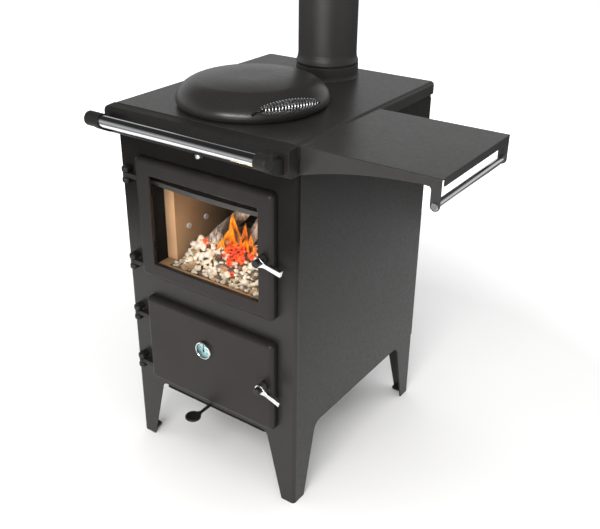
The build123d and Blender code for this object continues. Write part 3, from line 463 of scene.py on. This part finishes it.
# ================================================================ rope seals
def rope_seal(name, x0, z0, x1, z1, r, node_name, body):
    """Twisted rope, pressed a little flat, round a door's back."""
    pts = []
    for cx, cz, a0 in ((x1 - r, z1 - r, 0), (x0 + r, z1 - r, 90), (x0 + r, z0 + r, 180), (x1 - r, z0 + r, 270)):
        for k in range(9):
            a = math.radians(a0 + 90.0 * k / 8)
            pts.append(P(cx + r * math.cos(a), -4.1, cz + r * math.sin(a)))
    path = []
    total = 0.0
    step = 0.0022
    for i in range(len(pts)):
        a, b = pts[i], pts[(i + 1) % len(pts)]
        d = (b - a).length
        m = max(1, int(round(d / step)))
        for k in range(m):
            path.append(a.lerp(b, k / m))
        total += d
    n = len(path)
    twists = round(total / 0.030)
    sides = 15
    verts, faces = [], []
    for i in range(n):
        tan = (path[(i + 1) % n] - path[i - 1]).normalized()
        depth = Vector((0, 1, 0))
        wide = tan.cross(depth).normalized()
        for k in range(sides):
            phi = 2 * math.pi * k / sides
            lobe = abs(math.cos(1.5 * (phi - 2 * math.pi * twists * i / n)))
            q = 0.80 + 0.20 * lobe ** 0.7
            verts.append(path[i] + wide * (0.00475 * q * math.cos(phi)) + depth * (0.0036 * q * math.sin(phi)))
    for i in range(n):
        j = (i + 1) % n
        for k in range(sides):
            l = (k + 1) % sides
            faces.append((i * sides + k, i * sides + l, j * sides + l, j * sides + k))
    ob = make(name, verts, faces, M["rope"], body)
    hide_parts(node_name)
    return ob


rope_seal("fire_door_rope", -184.0, 524.5, 194.5, 811.5, 8.0, "fire_door_seal", "fire_door")
rope_seal("oven_door_rope", -179.0, 223.0, 193.5, 446.0, 8.0, "oven_door_seal", "oven_door")


# ================================================================ dial print
def dial_print():
    """Plain scale marks and numbers on the dial, as thin raised print."""
    cx, cz = -1.0, 368.5
    y0, y1 = -24.90, -24.98
    verts, faces = [], []

    def plate(pts):
        base = len(verts)
        n = len(pts)
        for y in (y0, y1):
            for (x, z) in pts:
                verts.append(P(cx + x, y, cz + z))
        faces.append(tuple(base + k for k in range(n)))
        faces.append(tuple(base + n + k for k in range(n))[::-1])
        for k in range(n):
            l = (k + 1) % n
            faces.append((base + k, base + n + k, base + n + l, base + l))

    for i in range(41):
        a = math.radians(210 - 6.0 * i)
        long = i % 10 == 0
        half = i % 5 == 0
        r1 = 18.6
        r0 = 15.6 if long else (16.4 if half else 17.3)
        w = 0.34 if long else 0.17
        c, s = math.cos(a), math.sin(a)
        plate([(r0 * c - w * s, r0 * s + w * c), (r1 * c - w * s, r1 * s + w * c),
               (r1 * c + w * s, r1 * s - w * c), (r0 * c + w * s, r0 * s - w * c)])
    # thin ring
    n = 72
    for k in range(n):
        a0, a1 = 2 * math.pi * k / n, 2 * math.pi * (k + 1) / n
        plate([(19.1 * math.cos(a0), 19.1 * math.sin(a0)), (19.5 * math.cos(a0), 19.5 * math.sin(a0)),
               (19.5 * math.cos(a1), 19.5 * math.sin(a1)), (19.1 * math.cos(a1), 19.1 * math.sin(a1))])
    ob = make("dial_scale", verts, faces, M["pointer"], "oven_door", smooth=False)
    for i, txt in enumerate(("0", "100", "200", "300", "400")):
        a = math.radians(210 - 60.0 * i)
        cu = bpy.data.curves.new("dial_number_%d" % i, "FONT")
        cu.body = txt
        cu.align_x = "CENTER"
        cu.align_y = "CENTER"
        cu.size = 0.0042
        cu.extrude = 0.00004
        tmp = bpy.data.objects.new("tmp_number", cu)
        SCENE.collection.objects.link(tmp)
        bpy.context.view_layer.update()
        me = bpy.data.meshes.new_from_object(tmp.evaluated_get(bpy.context.evaluated_depsgraph_get()))
        bpy.data.objects.remove(tmp)
        c = P(cx + 12.2 * math.cos(a), -24.945, cz + 12.2 * math.sin(a))
        me.transform(Matrix.Translation(c) @ Matrix.Rotation(math.radians(90), 4, "X"))
        me.materials.clear()
        me.materials.append(M["pointer"])
        o2 = bpy.data.objects.new("dial_number_%d" % i, me)
        SCENE.collection.objects.link(o2)
        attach(o2, "oven_door")


dial_print()


# ============================================================== fire contents
rng = random.Random(41)
FLOOR_Z = 526.0


def heap(x, y):
    """Height of the ash and chips above the hearth floor."""
    if y < 35:
        return 0.0
    edge = min(1.0, max(0.0, (y - 36.0) / 44.0)) * min(1.0, max(0.0, (x + 156.0) / 26.0)) \
        * min(1.0, max(0.0, (191.0 - x) / 26.0)) * min(1.0, max(0.0, (420.0 - y) / 120.0))

    def g(cx, cy, sx, sy, a):
        return a * math.exp(-((x - cx) / sx) ** 2 - ((y - cy) / sy) ** 2)

    h = 9.0 + g(-112, 108, 34, 34, 30) + g(-40, 120, 50, 44, 24) + g(30, 118, 60, 42, 20) \
        + g(110, 116, 60, 44, 22) + g(20, 190, 120, 70, 34)
    return h * edge


def ash_bed():
    nx, ny = 70, 74
    x0, x1, y0, y1 = -156.6, 191.6, 37.0, 420.0
    verts, faces = [], []
    for j in range(ny + 1):
        for i in range(nx + 1):
            x = x0 + (x1 - x0) * i / nx
            y = y0 + (y1 - y0) * j / ny
            if y < 66.4:
                x = max(x, -156.6)
            n = noise.noise(Vector((x * 0.06, y * 0.06, 3.1))) * 4.0 + noise.noise(Vector((x * 0.2, y * 0.2, 7.7))) * 2.0
            verts.append(P(x, y, FLOOR_Z + 0.4 + max(0.0, heap(x, y) * 0.82 + n * min(1.0, heap(x, y) / 9.0))))
    w = nx + 1
    for j in range(ny):
        for i in range(nx):
            a = j * w + i
            faces.append((a, a + 1, a + w + 1, a + w))
    top = len(verts)
    ring = [i for i in range(w)] + [j * w + nx for j in range(1, ny + 1)] \
        + [ny * w + i for i in range(nx - 1, -1, -1)] + [j * w for j in range(ny - 1, 0, -1)]
    for r in ring:
        c = verts[r]
        verts.append(Vector((c.x, c.y, (FLOOR_Z + 0.1) / 1000.0)))
    for k in range(len(ring)):
        l = (k + 1) % len(ring)
        faces.append((ring[k], top + k, top + l, ring[l]))
    faces.append(tuple(top + k for k in range(len(ring))))
    return verts, faces


def ash_mat():
    m, nt, b = new_mat("grey_ash")
    co = coords(nt)
    cloud = noise_tex(nt, co, 55.0, 5.0, 0.65)
    fine = noise_tex(nt, co, 420.0, 3.0)
    tone = ramp(nt, cloud, [(0.28, (0.030, 0.022, 0.017)), (0.50, (0.13, 0.10, 0.075)), (0.72, (0.34, 0.29, 0.23))])
    nt.links.new(mixc(nt, remap(nt, fine, 0.5, 0.75, 0.0, 0.5), tone, (0.42, 0.38, 0.32)), b.inputs["Base Color"])
    b.inputs["Roughness"].default_value = 0.95
    b.inputs["Specular IOR Level"].default_value = 0.1
    nt.links.new(bump(nt, fine, 0.8, 0.002), b.inputs["Normal"])
    return m


def chip_mat(name, lo, mid, hi, char):
    """Dry wood chips: pale faces, grain streaks, scorched spots."""
    m, nt, b = new_mat(name)
    co = coords(nt)
    cloud = noise_tex(nt, co, 46.0, 3.0, 0.6)
    grain = noise_tex(nt, coords(nt, (1.0, 0.35, 2.2)), 320.0, 3.0, 0.6)
    tone = ramp(nt, cloud, [(0.28, lo), (0.50, mid), (0.68, hi)])
    tone = mixc(nt, remap(nt, grain, 0.52, 0.78, 0.0, 0.45), tone, lo)
    tone = mixc(nt, remap(nt, noise_tex(nt, co, 30.0, 2.0), 0.60, 0.72, 0.0, char), tone, (0.025, 0.015, 0.010))
    nt.links.new(tone, b.inputs["Base Color"])
    nt.links.new(remap(nt, grain, 0.3, 0.7, 0.7, 0.9), b.inputs["Roughness"])
    nt.links.new(bump(nt, grain, 0.4, 0.0008), b.inputs["Normal"])
    return m


M["ash"] = ash_mat()
M["chip_pale"] = chip_mat("chips_pale", (0.52, 0.42, 0.28), (0.78, 0.70, 0.54), (0.90, 0.86, 0.76), 0.20)
M["chip_tan"] = chip_mat("chips_tan", (0.30, 0.19, 0.10), (0.52, 0.37, 0.22), (0.70, 0.56, 0.38), 0.5)
M["chip_lump"] = chip_mat("chips_burst", (0.60, 0.52, 0.38), (0.84, 0.80, 0.70), (0.93, 0.91, 0.86), 0.12)
M["chip_char"] = chip_mat("chips_charred", (0.020, 0.012, 0.009), (0.06, 0.035, 0.025), (0.20, 0.12, 0.08), 0.7)

v, f = ash_bed()
make("hearth_ash", v, f, M["ash"], "stove_body")


def chip(verts, faces, c, size, flat, r):
    """One splintered chip: a bevelled irregular prism."""
    n = r.randint(5, 7)
    ang = sorted(2 * math.pi * (k + r.uniform(-0.28, 0.28)) / n for k in range(n))
    rad = [r.uniform(0.72, 1.08) for _ in range(n)]
    long = r.uniform(1.0, 1.75)
    rot = Matrix.Rotation(r.uniform(0, 6.28), 3, "Z")
    tilt = Matrix.Rotation(r.uniform(-0.75, 0.75), 3, "X") @ Matrix.Rotation(r.uniform(-0.75, 0.75), 3, "Y")
    base = len(verts)
    th = size * flat
    for zz, k in ((-th, 0.72), (-th * 0.55, 1.0), (th * 0.5, 0.98), (th, 0.66)):
        for a, q in zip(ang, rad):
            p = Vector((size * long * k * q * math.cos(a), size * k * q * math.sin(a),
                        zz + r.uniform(-0.12, 0.12) * th))
            p = tilt @ (rot @ p)
            verts.append(c + p / 1000.0)
    for lvl in range(3):
        for k in range(n):
            l = (k + 1) % n
            faces.append((base + lvl * n + k, base + lvl * n + l, base + (lvl + 1) * n + l, base + (lvl + 1) * n + k))
    faces.append(tuple(base + k for k in range(n))[::-1])
    faces.append(tuple(base + 3 * n + k for k in range(n)))


def lump(verts, faces, c, size, r):
    """One burst chip: a rounded knobbly lump."""
    seed = r.uniform(0, 60)
    sx, sy, sz = size * r.uniform(0.9, 1.35), size * r.uniform(0.8, 1.1), size * r.uniform(0.6, 0.9)
    rot = Matrix.Rotation(r.uniform(0, 6.28), 3, "Z") @ Matrix.Rotation(r.uniform(-0.6, 0.6), 3, "X")
    rings, segs = 6, 10
    base = len(verts)

    def put(d):
        q = 1.0 + 0.55 * noise.noise(d * 1.7 + Vector((seed, 0, 0))) + 0.30 * noise.noise(d * 4.3 + Vector((0, seed, 0)))
        verts.append(c + (rot @ Vector((d.x * sx * q, d.y * sy * q, d.z * sz * q))) / 1000.0)

    put(Vector((0, 0, 1)))
    for i in range(1, rings):
        t = math.pi * i / rings
        for k in range(segs):
            a = 2 * math.pi * k / segs
            put(Vector((math.sin(t) * math.cos(a), math.sin(t) * math.sin(a), math.cos(t))))
    put(Vector((0, 0, -1)))
    last = len(verts) - 1
    for k in range(segs):
        l = (k + 1) % segs
        faces.append((base, base + 1 + k, base + 1 + l))
        for i in range(rings - 2):
            a0, b0 = base + 1 + i * segs, base + 1 + (i + 1) * segs
            faces.append((a0 + k, b0 + k, b0 + l, a0 + l))
        b0 = base + 1 + (rings - 2) * segs
        faces.append((b0 + l, b0 + k, last))


def scatter():
    out = {"pale": ([], []), "tan": ([], []), "char": ([], []), "lump": ([], [])}
    made = []
    tries = 0
    while len(made) < 640 and tries < 14000:
        tries += 1
        y = 39.0 + 222.0 * (rng.random() ** 1.5)
        x = rng.uniform(-148.0, 180.0)
        size = rng.uniform(7.5, 12.5) if rng.random() < 0.22 else rng.uniform(3.4, 7.0)
        if y < 46 + size and rng.random() < 0.5:
            continue
        if any((x - q[0]) ** 2 + (y - q[1]) ** 2 < (0.62 * (size + q[2])) ** 2 for q in made):
            if rng.random() < 0.90:
                continue
        made.append((x, y, size))
        flat = rng.uniform(0.32, 0.62)
        lift = heap(x, y)
        z = FLOOR_Z + max(size * flat + 0.8, lift * 0.92 + size * 0.25)
        fire = math.exp(-((x + 2) / 62.0) ** 2 - ((y - 135) / 40.0) ** 2)
        u = rng.random()
        kind = "char" if u < 0.06 + 0.5 * fire else ("tan" if u < 0.26 + 0.4 * fire else "pale")
        if kind == "pale" and rng.random() < 0.62:
            lump(*out["lump"], P(x, y, z + size * 0.15), size * 0.92, rng)
        else:
            chip(*out[kind], P(x, y, z), size, flat, rng)
    # a loose stack at the left of the fire
    for k in range(34):
        x = rng.gauss(-108, 15)
        y = rng.gauss(98, 11)
        size = rng.uniform(4.2, 8.0)
        z = FLOOR_Z + heap(x, y) + rng.uniform(2, 20) * math.exp(-((x + 110) / 22.0) ** 2 - ((y - 98) / 18.0) ** 2)
        u = rng.random()
        if u > 0.45:
            lump(*out["lump"], P(x, y, z), size * 1.15, rng)
            continue
        kind = "char" if u < 0.10 else ("tan" if u < 0.26 else "pale")
        chip(*out[kind], P(x, y, z), size, rng.uniform(0.35, 0.7), rng)
    return out


heaps = scatter()
for kind, (v, f) in heaps.items():
    make("wood_chips_" + kind, v, f, M["chip_" + kind], "stove_body", smooth=(kind == "lump"))


def log_mat():
    """Split log: bark outside, pale ash film and char on the split faces."""
    m, nt, b = new_mat("burning_logs")
    co = coords(nt)
    cloud = noise_tex(nt, co, 34.0, 4.0, 0.6)
    streak = noise_tex(nt, coords(nt, (1.0, 1.0, 0.22)), 190.0, 4.0, 0.65, 0.5)
    tone = ramp(nt, streak, [(0.30, (0.06, 0.040, 0.030)), (0.43, (0.26, 0.20, 0.155)), (0.54, (0.60, 0.55, 0.48)),
                             (0.68, (0.84, 0.81, 0.76))])
    tone = mixc(nt, remap(nt, cloud, 0.56, 0.68, 0.0, 0.88), tone, (0.030, 0.017, 0.012))
    # charred through where the flames play on the wood
    far = node(nt, "ShaderNodeVectorMath", operation="DISTANCE")
    nt.links.new(co, far.inputs[0])
    far.inputs[1].default_value = tuple(P(-42, 168, 598))
    reach = math_(nt, "ADD", far.outputs["Value"], math_(nt, "MULTIPLY", math_(nt, "SUBTRACT", cloud, 0.5), 0.04))
    tone = mixc(nt, remap(nt, reach, 0.036, 0.060, 0.96, 0.0), tone, (0.020, 0.009, 0.006))
    nt.links.new(tone, b.inputs["Base Color"])
    nt.links.new(remap(nt, streak, 0.3, 0.7, 0.75, 0.95), b.inputs["Roughness"])
    nt.links.new(bump(nt, streak, 0.7, 0.002), b.inputs["Normal"])
    return m


M["log"] = log_mat()


def log(name, a, b, r, wedge, seed):
    """A split log from a to b: wedge-shaped section, rough bark, uneven ends."""
    a, b = P(*a), P(*b)
    axis = (b - a)
    length = axis.length
    axis.normalize()
    ref = Vector((0, 1, 0))
    u = (ref - axis * ref.dot(axis)).normalized()
    w = axis.cross(u)
    prof = []
    n_arc = 12
    for k in range(n_arc + 1):
        t = math.radians(-wedge / 2 + wedge * k / n_arc)
        prof.append((math.cos(t), math.sin(t)))
    for k in range(1, 4):
        q = 1.0 - k / 4.0
        prof.append((prof[n_arc][0] * q - 0.30 * (1 - q), prof[n_arc][1] * q))
    prof.append((-0.30, 0.0))
    for k in range(1, 4):
        q = k / 4.0
        prof.append((prof[0][0] * q - 0.30 * (1 - q), prof[0][1] * q))
    ns = 26
    verts, faces = [], []
    m = len(prof)
    for i in range(ns + 1):
        t = i / ns
        c = a + axis * (length * t)
        taper = (1.0 - 0.22 * t) * (1.0 if 0 < i < ns else 0.90)
        bend = w * (0.006 * math.sin(t * 3.0 + seed))
        for k, (px, pz) in enumerate(prof):
            d = 1.0 + 0.10 * noise.noise(Vector((px * 2.4 + seed, pz * 2.4, t * 7.0))) \
                + 0.05 * noise.noise(Vector((px * 7 + seed, pz * 7, t * 22.0)))
            q = r / 1000.0 * taper * d
            verts.append(c + bend + u * (px * q) + w * (pz * q))
    for i in range(ns):
        for k in range(m):
            l = (k + 1) % m
            faces.append((i * m + k, i * m + l, (i + 1) * m + l, (i + 1) * m + k))
    base = len(verts)
    for i, s in ((0, -1), (ns, 1)):
        c = sum((verts[i * m + k] for k in range(m)), Vector()) / m
        verts.append(c + axis * (0.002 * s))
    for k in range(m):
        l = (k + 1) % m
        faces.append((l, k, base))
        faces.append((ns * m + k, ns * m + l, base + 1))
    return make(name, verts, faces, M["log"], "stove_body")


log("log_left", (-98, 128, 556), (-22, 176, 668), 21, 170, 1.3)
log("log_lean", (-14, 150, 566), (44, 214, 716), 17, 150, 2.9)
log("log_back", (96, 168, 556), (10, 250, 708), 23, 190, 4.1)
log("log_right", (128, 132, 552), (62, 214, 668), 20, 160, 5.7)
log("log_cross", (-120, 205, 560), (118, 226, 572), 26, 200, 7.9)
log("log_low", (-70, 150, 556), (70, 142, 560), 17, 180, 9.2)


def ember_mat():
    """Glowing coals: dark crust with bright cracks."""
    m, nt, b = new_mat("glowing_embers")
    co = coords(nt)
    cell = node(nt, "ShaderNodeTexVoronoi", feature="DISTANCE_TO_EDGE")
    cell.inputs["Scale"].default_value = 95.0
    nt.links.new(co, cell.inputs["Vector"])
    cloud = noise_tex(nt, co, 60.0, 4.0, 0.6)
    heat = math_(nt, "ADD", remap(nt, cell.outputs["Distance"], 0.0, 0.22, 0.55, 0.0), remap(nt, cloud, 0.34, 0.66, 0.0, 0.7))
    nt.links.new(ramp(nt, heat, [(0.15, (0.05, 0.012, 0.008)), (0.8, (0.30, 0.05, 0.02))]), b.inputs["Base Color"])
    nt.links.new(ramp(nt, heat, [(0.16, (0.03, 0.002, 0.001)), (0.44, (0.55, 0.020, 0.006)), (0.80, (0.95, 0.058, 0.012)),
                                 (1.0, (1.0, 0.20, 0.03))]), b.inputs["Emission Color"])
    b.inputs["Emission Strength"].default_value = 1.15
    b.inputs["Roughness"].default_value = 0.9
    nt.links.new(bump(nt, cell.outputs["Distance"], 0.6, 0.003), b.inputs["Normal"])
    return m


M["ember"] = ember_mat()
ev, ef = [], []
for k in range(58):
    x = rng.gauss(4, 21)
    y = rng.gauss(108, 10)
    size = rng.uniform(4.0, 8.5)
    z = FLOOR_Z + heap(x, y) * 0.95 + rng.uniform(2, 17) * math.exp(-((x - 2) / 44.0) ** 2)
    chip(ev, ef, P(x, y, z), size, rng.uniform(0.5, 0.8), rng)
for k in range(14):
    x = rng.gauss(-99, 6)
    y = rng.gauss(104, 5)
    chip(ev, ef, P(x, y, FLOOR_Z + heap(x, y) + rng.uniform(2, 14)), rng.uniform(5, 9), rng.uniform(0.5, 0.8), rng)
make("fire_embers", ev, ef, M["ember"], "stove_body", smooth=False)


def flame_mat():
    """Flame sheets: yellow heart, orange body, red fringe, thinning to nothing at the edges."""
    m, nt, b = new_mat("flame")
    at = node(nt, "ShaderNodeAttribute", attribute_name="burn")
    ed = node(nt, "ShaderNodeAttribute", attribute_name="fringe")
    co = coords(nt)
    lick = noise_tex(nt, coords(nt, (1.0, 1.0, 0.45)), 95.0, 3.0, 0.6, 1.2)
    heat = math_(nt, "ADD", at.outputs["Fac"], math_(nt, "MULTIPLY", math_(nt, "SUBTRACT", lick, 0.5), 0.85))
    nt.links.new(ramp(nt, heat, [(0.05, (0.50, 0.022, 0.003)), (0.26, (1.0, 0.13, 0.008)), (0.50, (1.0, 0.33, 0.018)),
                                 (0.74, (1.0, 0.60, 0.075)), (1.0, (1.0, 0.86, 0.34))]), b.inputs["Emission Color"])
    b.inputs["Emission Strength"].default_value = 1.5
    b.inputs["Base Color"].default_value = (0.0, 0.0, 0.0, 1.0)
    b.inputs["Roughness"].default_value = 1.0
    b.inputs["Specular IOR Level"].default_value = 0.0
    a = math_(nt, "MULTIPLY", ed.outputs["Fac"], remap(nt, lick, 0.30, 0.58, 0.25, 1.0))
    nt.links.new(a, b.inputs["Alpha"])
    return m


M["flame"] = flame_mat()


def flames(name, tongues):
    verts, faces, heat, fringe = [], [], [], []
    for (x, y, z, h, w, lean, yaw, seed, hot) in tongues:
        base = len(verts)
        ns, nw = 30, 12
        ca, sa = math.cos(yaw), math.sin(yaw)
        for i in range(ns + 1):
            t = i / ns
            prof = (math.sin(math.pi * min(1.0, t * 1.02) ** 0.62) ** 0.9) * (1.0 - 0.35 * t) + 0.02 * (1 - t)
            half = max(0.4, w * prof)
            sway = lean * t * t + 0.16 * w * math.sin(5.2 * t + seed) * (0.3 + t)
            dz = h * t
            bow = 0.12 * w * math.sin(4.1 * t + seed * 1.7)
            for k in range(nw):
                p = 2 * math.pi * k / nw
                lx = sway + half * math.cos(p)
                ly = bow + 0.22 * half * math.sin(p)
                lx += 1.8 * noise.noise(Vector((seed * 3 + t * 6, math.cos(p), 0.3)))
                verts.append(P(x + lx * ca - ly * sa, y + lx * sa + ly * ca, z + dz))
                e = abs(math.cos(p))
                heat.append(hot * (0.08 + 0.44 * t) + 0.26 * e * (1.0 - 0.5 * t) - 0.08)
                core = 0.03 + 0.85 * min(1.0, max(0.0, (t - 0.55) / 0.25)) + 0.90 * e ** 4
                edge = 1.0 if e < 0.9 else 0.0
                fringe.append(max(0.0, min(1.0, core)) * edge * min(1.0, (1.0 - t) * 4.0) * min(1.0, 0.35 + t * 5.0))
        for i in range(ns):
            for k in range(nw):
                l = (k + 1) % nw
                faces.append((base + i * nw + k, base + i * nw + l, base + (i + 1) * nw + l, base + (i + 1) * nw + k))
        faces.append(tuple(base + k for k in range(nw))[::-1])
        faces.append(tuple(base + ns * nw + k for k in range(nw)))
    me = bpy.data.meshes.new(name)
    me.from_pydata([tuple(p) for p in verts], [], faces)
    for nm, vals in (("burn", heat), ("fringe", fringe)):
        at = me.attributes.new(nm, "FLOAT", "POINT")
        at.data.foreach_set("value", vals)
    for p in me.polygons:
        p.use_smooth = True
    me.materials.append(M["flame"])
    ob = bpy.data.objects.new(name, me)
    SCENE.collection.objects.link(ob)
    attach(ob, "stove_body")
    return ob


flames("fire_flames", [
    # x, y, z, height, half width, lean, yaw, seed, heat
    (-20, 124, 556, 122, 24, 6, 0.00, 0.4, 1.05),
    (-22, 120, 552, 84, 30, -4, 0.12, 1.7, 0.95),
    (-46, 112, 552, 50, 16, -8, -0.15, 2.6, 1.20),
    (10, 118, 552, 66, 20, 10, 0.20, 3.9, 0.95),
    (30, 122, 552, 82, 13, 6, 0.10, 5.2, 0.85),
    (46, 118, 550, 64, 12, 8, -0.25, 6.1, 0.80),
    (-6, 112, 550, 52, 26, 2, 0.05, 7.4, 1.15),
    (-58, 120, 552, 36, 13, -6, 0.30, 8.8, 1.00),
    (4, 132, 556, 90, 18, 4, 1.35, 9.3, 0.95),
    (-30, 132, 556, 78, 16, -4, 1.75, 10.9, 0.95),
])

# ====================================================================== stage
def sheet(name, half, z, glow):
    """A plain pale floor sheet."""
    me = bpy.data.meshes.new(name)
    b_ = bmesh.new()
    bmesh.ops.create_grid(b_, x_segments=8, y_segments=8, size=half)
    for vv in b_.verts:
        vv.co.z = z
    b_.to_mesh(me)
    b_.free()
    ob = bpy.data.objects.new(name, me)
    SCENE.collection.objects.link(ob)
    m, nt, b = new_mat(name + "_pale")
    nt.links.new(ramp(nt, noise_tex(nt, coords(nt), 2.0, 3.0), [(0.3, (0.86, 0.86, 0.86)), (0.7, (0.88, 0.88, 0.88))]),
                 b.inputs["Base Color"])
    b.inputs["Roughness"].default_value = 0.9
    b.inputs["Specular IOR Level"].default_value = 0.05
    b.inputs["Emission Color"].default_value = (1.0, 1.0, 1.0, 1.0)
    if glow:
        b.inputs["Emission Strength"].default_value = glow
    else:
        ln = node(nt, "ShaderNodeVectorMath", operation="LENGTH")
        nt.links.new(coords(nt), ln.inputs[0])
        nt.links.new(remap(nt, ln.outputs["Value"], 0.95, 1.52, 0.0, 0.32), b.inputs["Emission Strength"])
    me.materials.append(m)
    return ob


sheet("studio_floor", 1.55, 0.0, 0.0)
far = sheet("studio_floor_far", 40.0, -0.0006, 0.75)
far.visible_glossy = False
far.visible_diffuse = False

# world: pale low sky behind the stove, dim in front, dark overhead
world = bpy.data.worlds.new("studio")
SCENE.world = world
world.use_nodes = True
wt = world.node_tree
bg = wt.nodes["Background"]
tc = wt.nodes.new("ShaderNodeTexCoord")
sx = wt.nodes.new("ShaderNodeSeparateXYZ")
wt.links.new(tc.outputs["Generated"], sx.inputs["Vector"])


def world_ramp(stops):
    r = wt.nodes.new("ShaderNodeValToRGB")
    els = r.color_ramp.elements
    while len(els) < len(stops):
        els.new(0.5)
    for e, (pos, val) in zip(els, stops):
        e.position = pos
        e.color = (val, val, val, 1.0)
    half = wt.nodes.new("ShaderNodeMapRange")
    half.inputs["From Min"].default_value = -1.0
    wt.links.new(sx.outputs["Z"], half.inputs["Value"])
    wt.links.new(half.outputs["Result"], r.inputs["Fac"])
    return r.outputs["Color"]


def zpos(el):
    return 0.5 + 0.5 * math.sin(math.radians(el))


sky_back = world_ramp([(zpos(-90), 0.10), (zpos(-6), 0.14), (zpos(2), 0.72), (zpos(20), 0.64), (zpos(33), 0.04), (1.0, 0.02)])
sky_front = world_ramp([(zpos(-90), 0.10), (zpos(-30), 0.32), (zpos(-4), 0.48), (zpos(2), 0.60), (zpos(10), 0.38), (zpos(22), 0.12), (zpos(36), 0.02), (1.0, 0.02)])
dirn = wt.nodes.new("ShaderNodeVectorMath")
dirn.operation = "DOT_PRODUCT"
wt.links.new(tc.outputs["Generated"], dirn.inputs[0])
dirn.inputs[1].default_value = (-0.585, 0.811, 0.0)
side = wt.nodes.new("ShaderNodeMapRange")
side.inputs["From Min"].default_value = -0.35
side.inputs["From Max"].default_value = 0.45
wt.links.new(dirn.outputs["Value"], side.inputs["Value"])
wm = wt.nodes.new("ShaderNodeMix")
wm.data_type = "RGBA"
wt.links.new(side.outputs["Result"], wm.inputs["Factor"])
wa, wb = [q for q in wm.inputs if q.type == "RGBA"]
wt.links.new(sky_front, wa)
wt.links.new(sky_back, wb)
wt.links.new([q for q in wm.outputs if q.type == "RGBA"][0], bg.inputs["Color"])
bg.inputs["Strength"].default_value = 1.0


def area(name, loc, target, size, power, glossy=True, color=(1, 1, 1)):
    li = bpy.data.lights.new(name, "AREA")
    li.shape = "RECTANGLE"
    li.size, li.size_y = size
    li.energy = power
    li.color = color
    ob = bpy.data.objects.new(name, li)
    SCENE.collection.objects.link(ob)
    ob.location = loc
    ob.rotation_mode = "QUATERNION"
    ob.rotation_quaternion = (Vector(target) - Vector(loc)).to_track_quat("-Z", "Y")
    ob.visible_glossy = glossy
    ob.visible_camera = False
    return ob


area("sky_panel", (0.1, -0.1, 4.4), (0.1, -0.1, 0.0), (8.6, 8.6), 345.0, glossy=False)


def aim(az, el):
    """Unit vector from the stove towards a light at an azimuth round from the front and a height."""
    a, e = math.radians(az), math.radians(el)
    return Vector((math.sin(a) * math.cos(e), -math.cos(a) * math.cos(e), math.sin(e)))


HEART = Vector((-0.12, -0.2, 0.7))
area("key_panel", HEART + aim(27, 40) * 3.4, HEART, (1.8, 1.0), 56.0, glossy=False, color=(1.0, 0.985, 0.97))
strip = area("strip_panel", HEART + aim(13, 13) * 3.4, HEART, (2.6, 0.7), 85.0, color=(1.0, 0.98, 0.965))
strip.data.diffuse_factor = 0.0

glow = bpy.data.lights.new("fire_glow", "POINT")
glow.energy = 0.46
glow.color = (1.0, 0.70, 0.44)
glow.shadow_soft_size = 0.04
glow_ob = bpy.data.objects.new("fire_glow", glow)
SCENE.collection.objects.link(glow_ob)
glow_ob.location = P(20, 34, 700)

SCENE.view_settings.view_transform = "Standard"
SCENE.view_settings.look = "None"

# ===================================================================== camera
AZ, EL, ROLL = math.radians(35.84), math.radians(26.725), math.radians(0.077)
back = Vector((math.sin(AZ) * math.cos(EL), -math.cos(AZ) * math.cos(EL), math.sin(EL)))
right = Vector((math.cos(AZ), math.sin(AZ), 0.0))
up = back.cross(right)
r2 = right * math.cos(ROLL) + up * math.sin(ROLL)
u2 = up * math.cos(ROLL) - right * math.sin(ROLL)
cam = bpy.data.cameras.new("camera")
cam.sensor_fit = "HORIZONTAL"
cam.sensor_width = 36.0
cam.lens = 825.468 * 36.0 / 600.0
cam.shift_x = (300.0 - 282.71) / 600.0
cam.shift_y = (254.198 - 264.5) / 600.0
cam.clip_start, cam.clip_end = 0.05, 100.0
cam_ob = bpy.data.objects.new("camera", cam)
SCENE.collection.objects.link(cam_ob)
loc = P(1129.722, -1266.13, 1467.317)
cam_ob.matrix_world = Matrix(((r2.x, u2.x, back.x, loc.x), (r2.y, u2.y, back.y, loc.y),
                              (r2.z, u2.z, back.z, loc.z), (0, 0, 0, 1)))
SCENE.camera = cam_ob
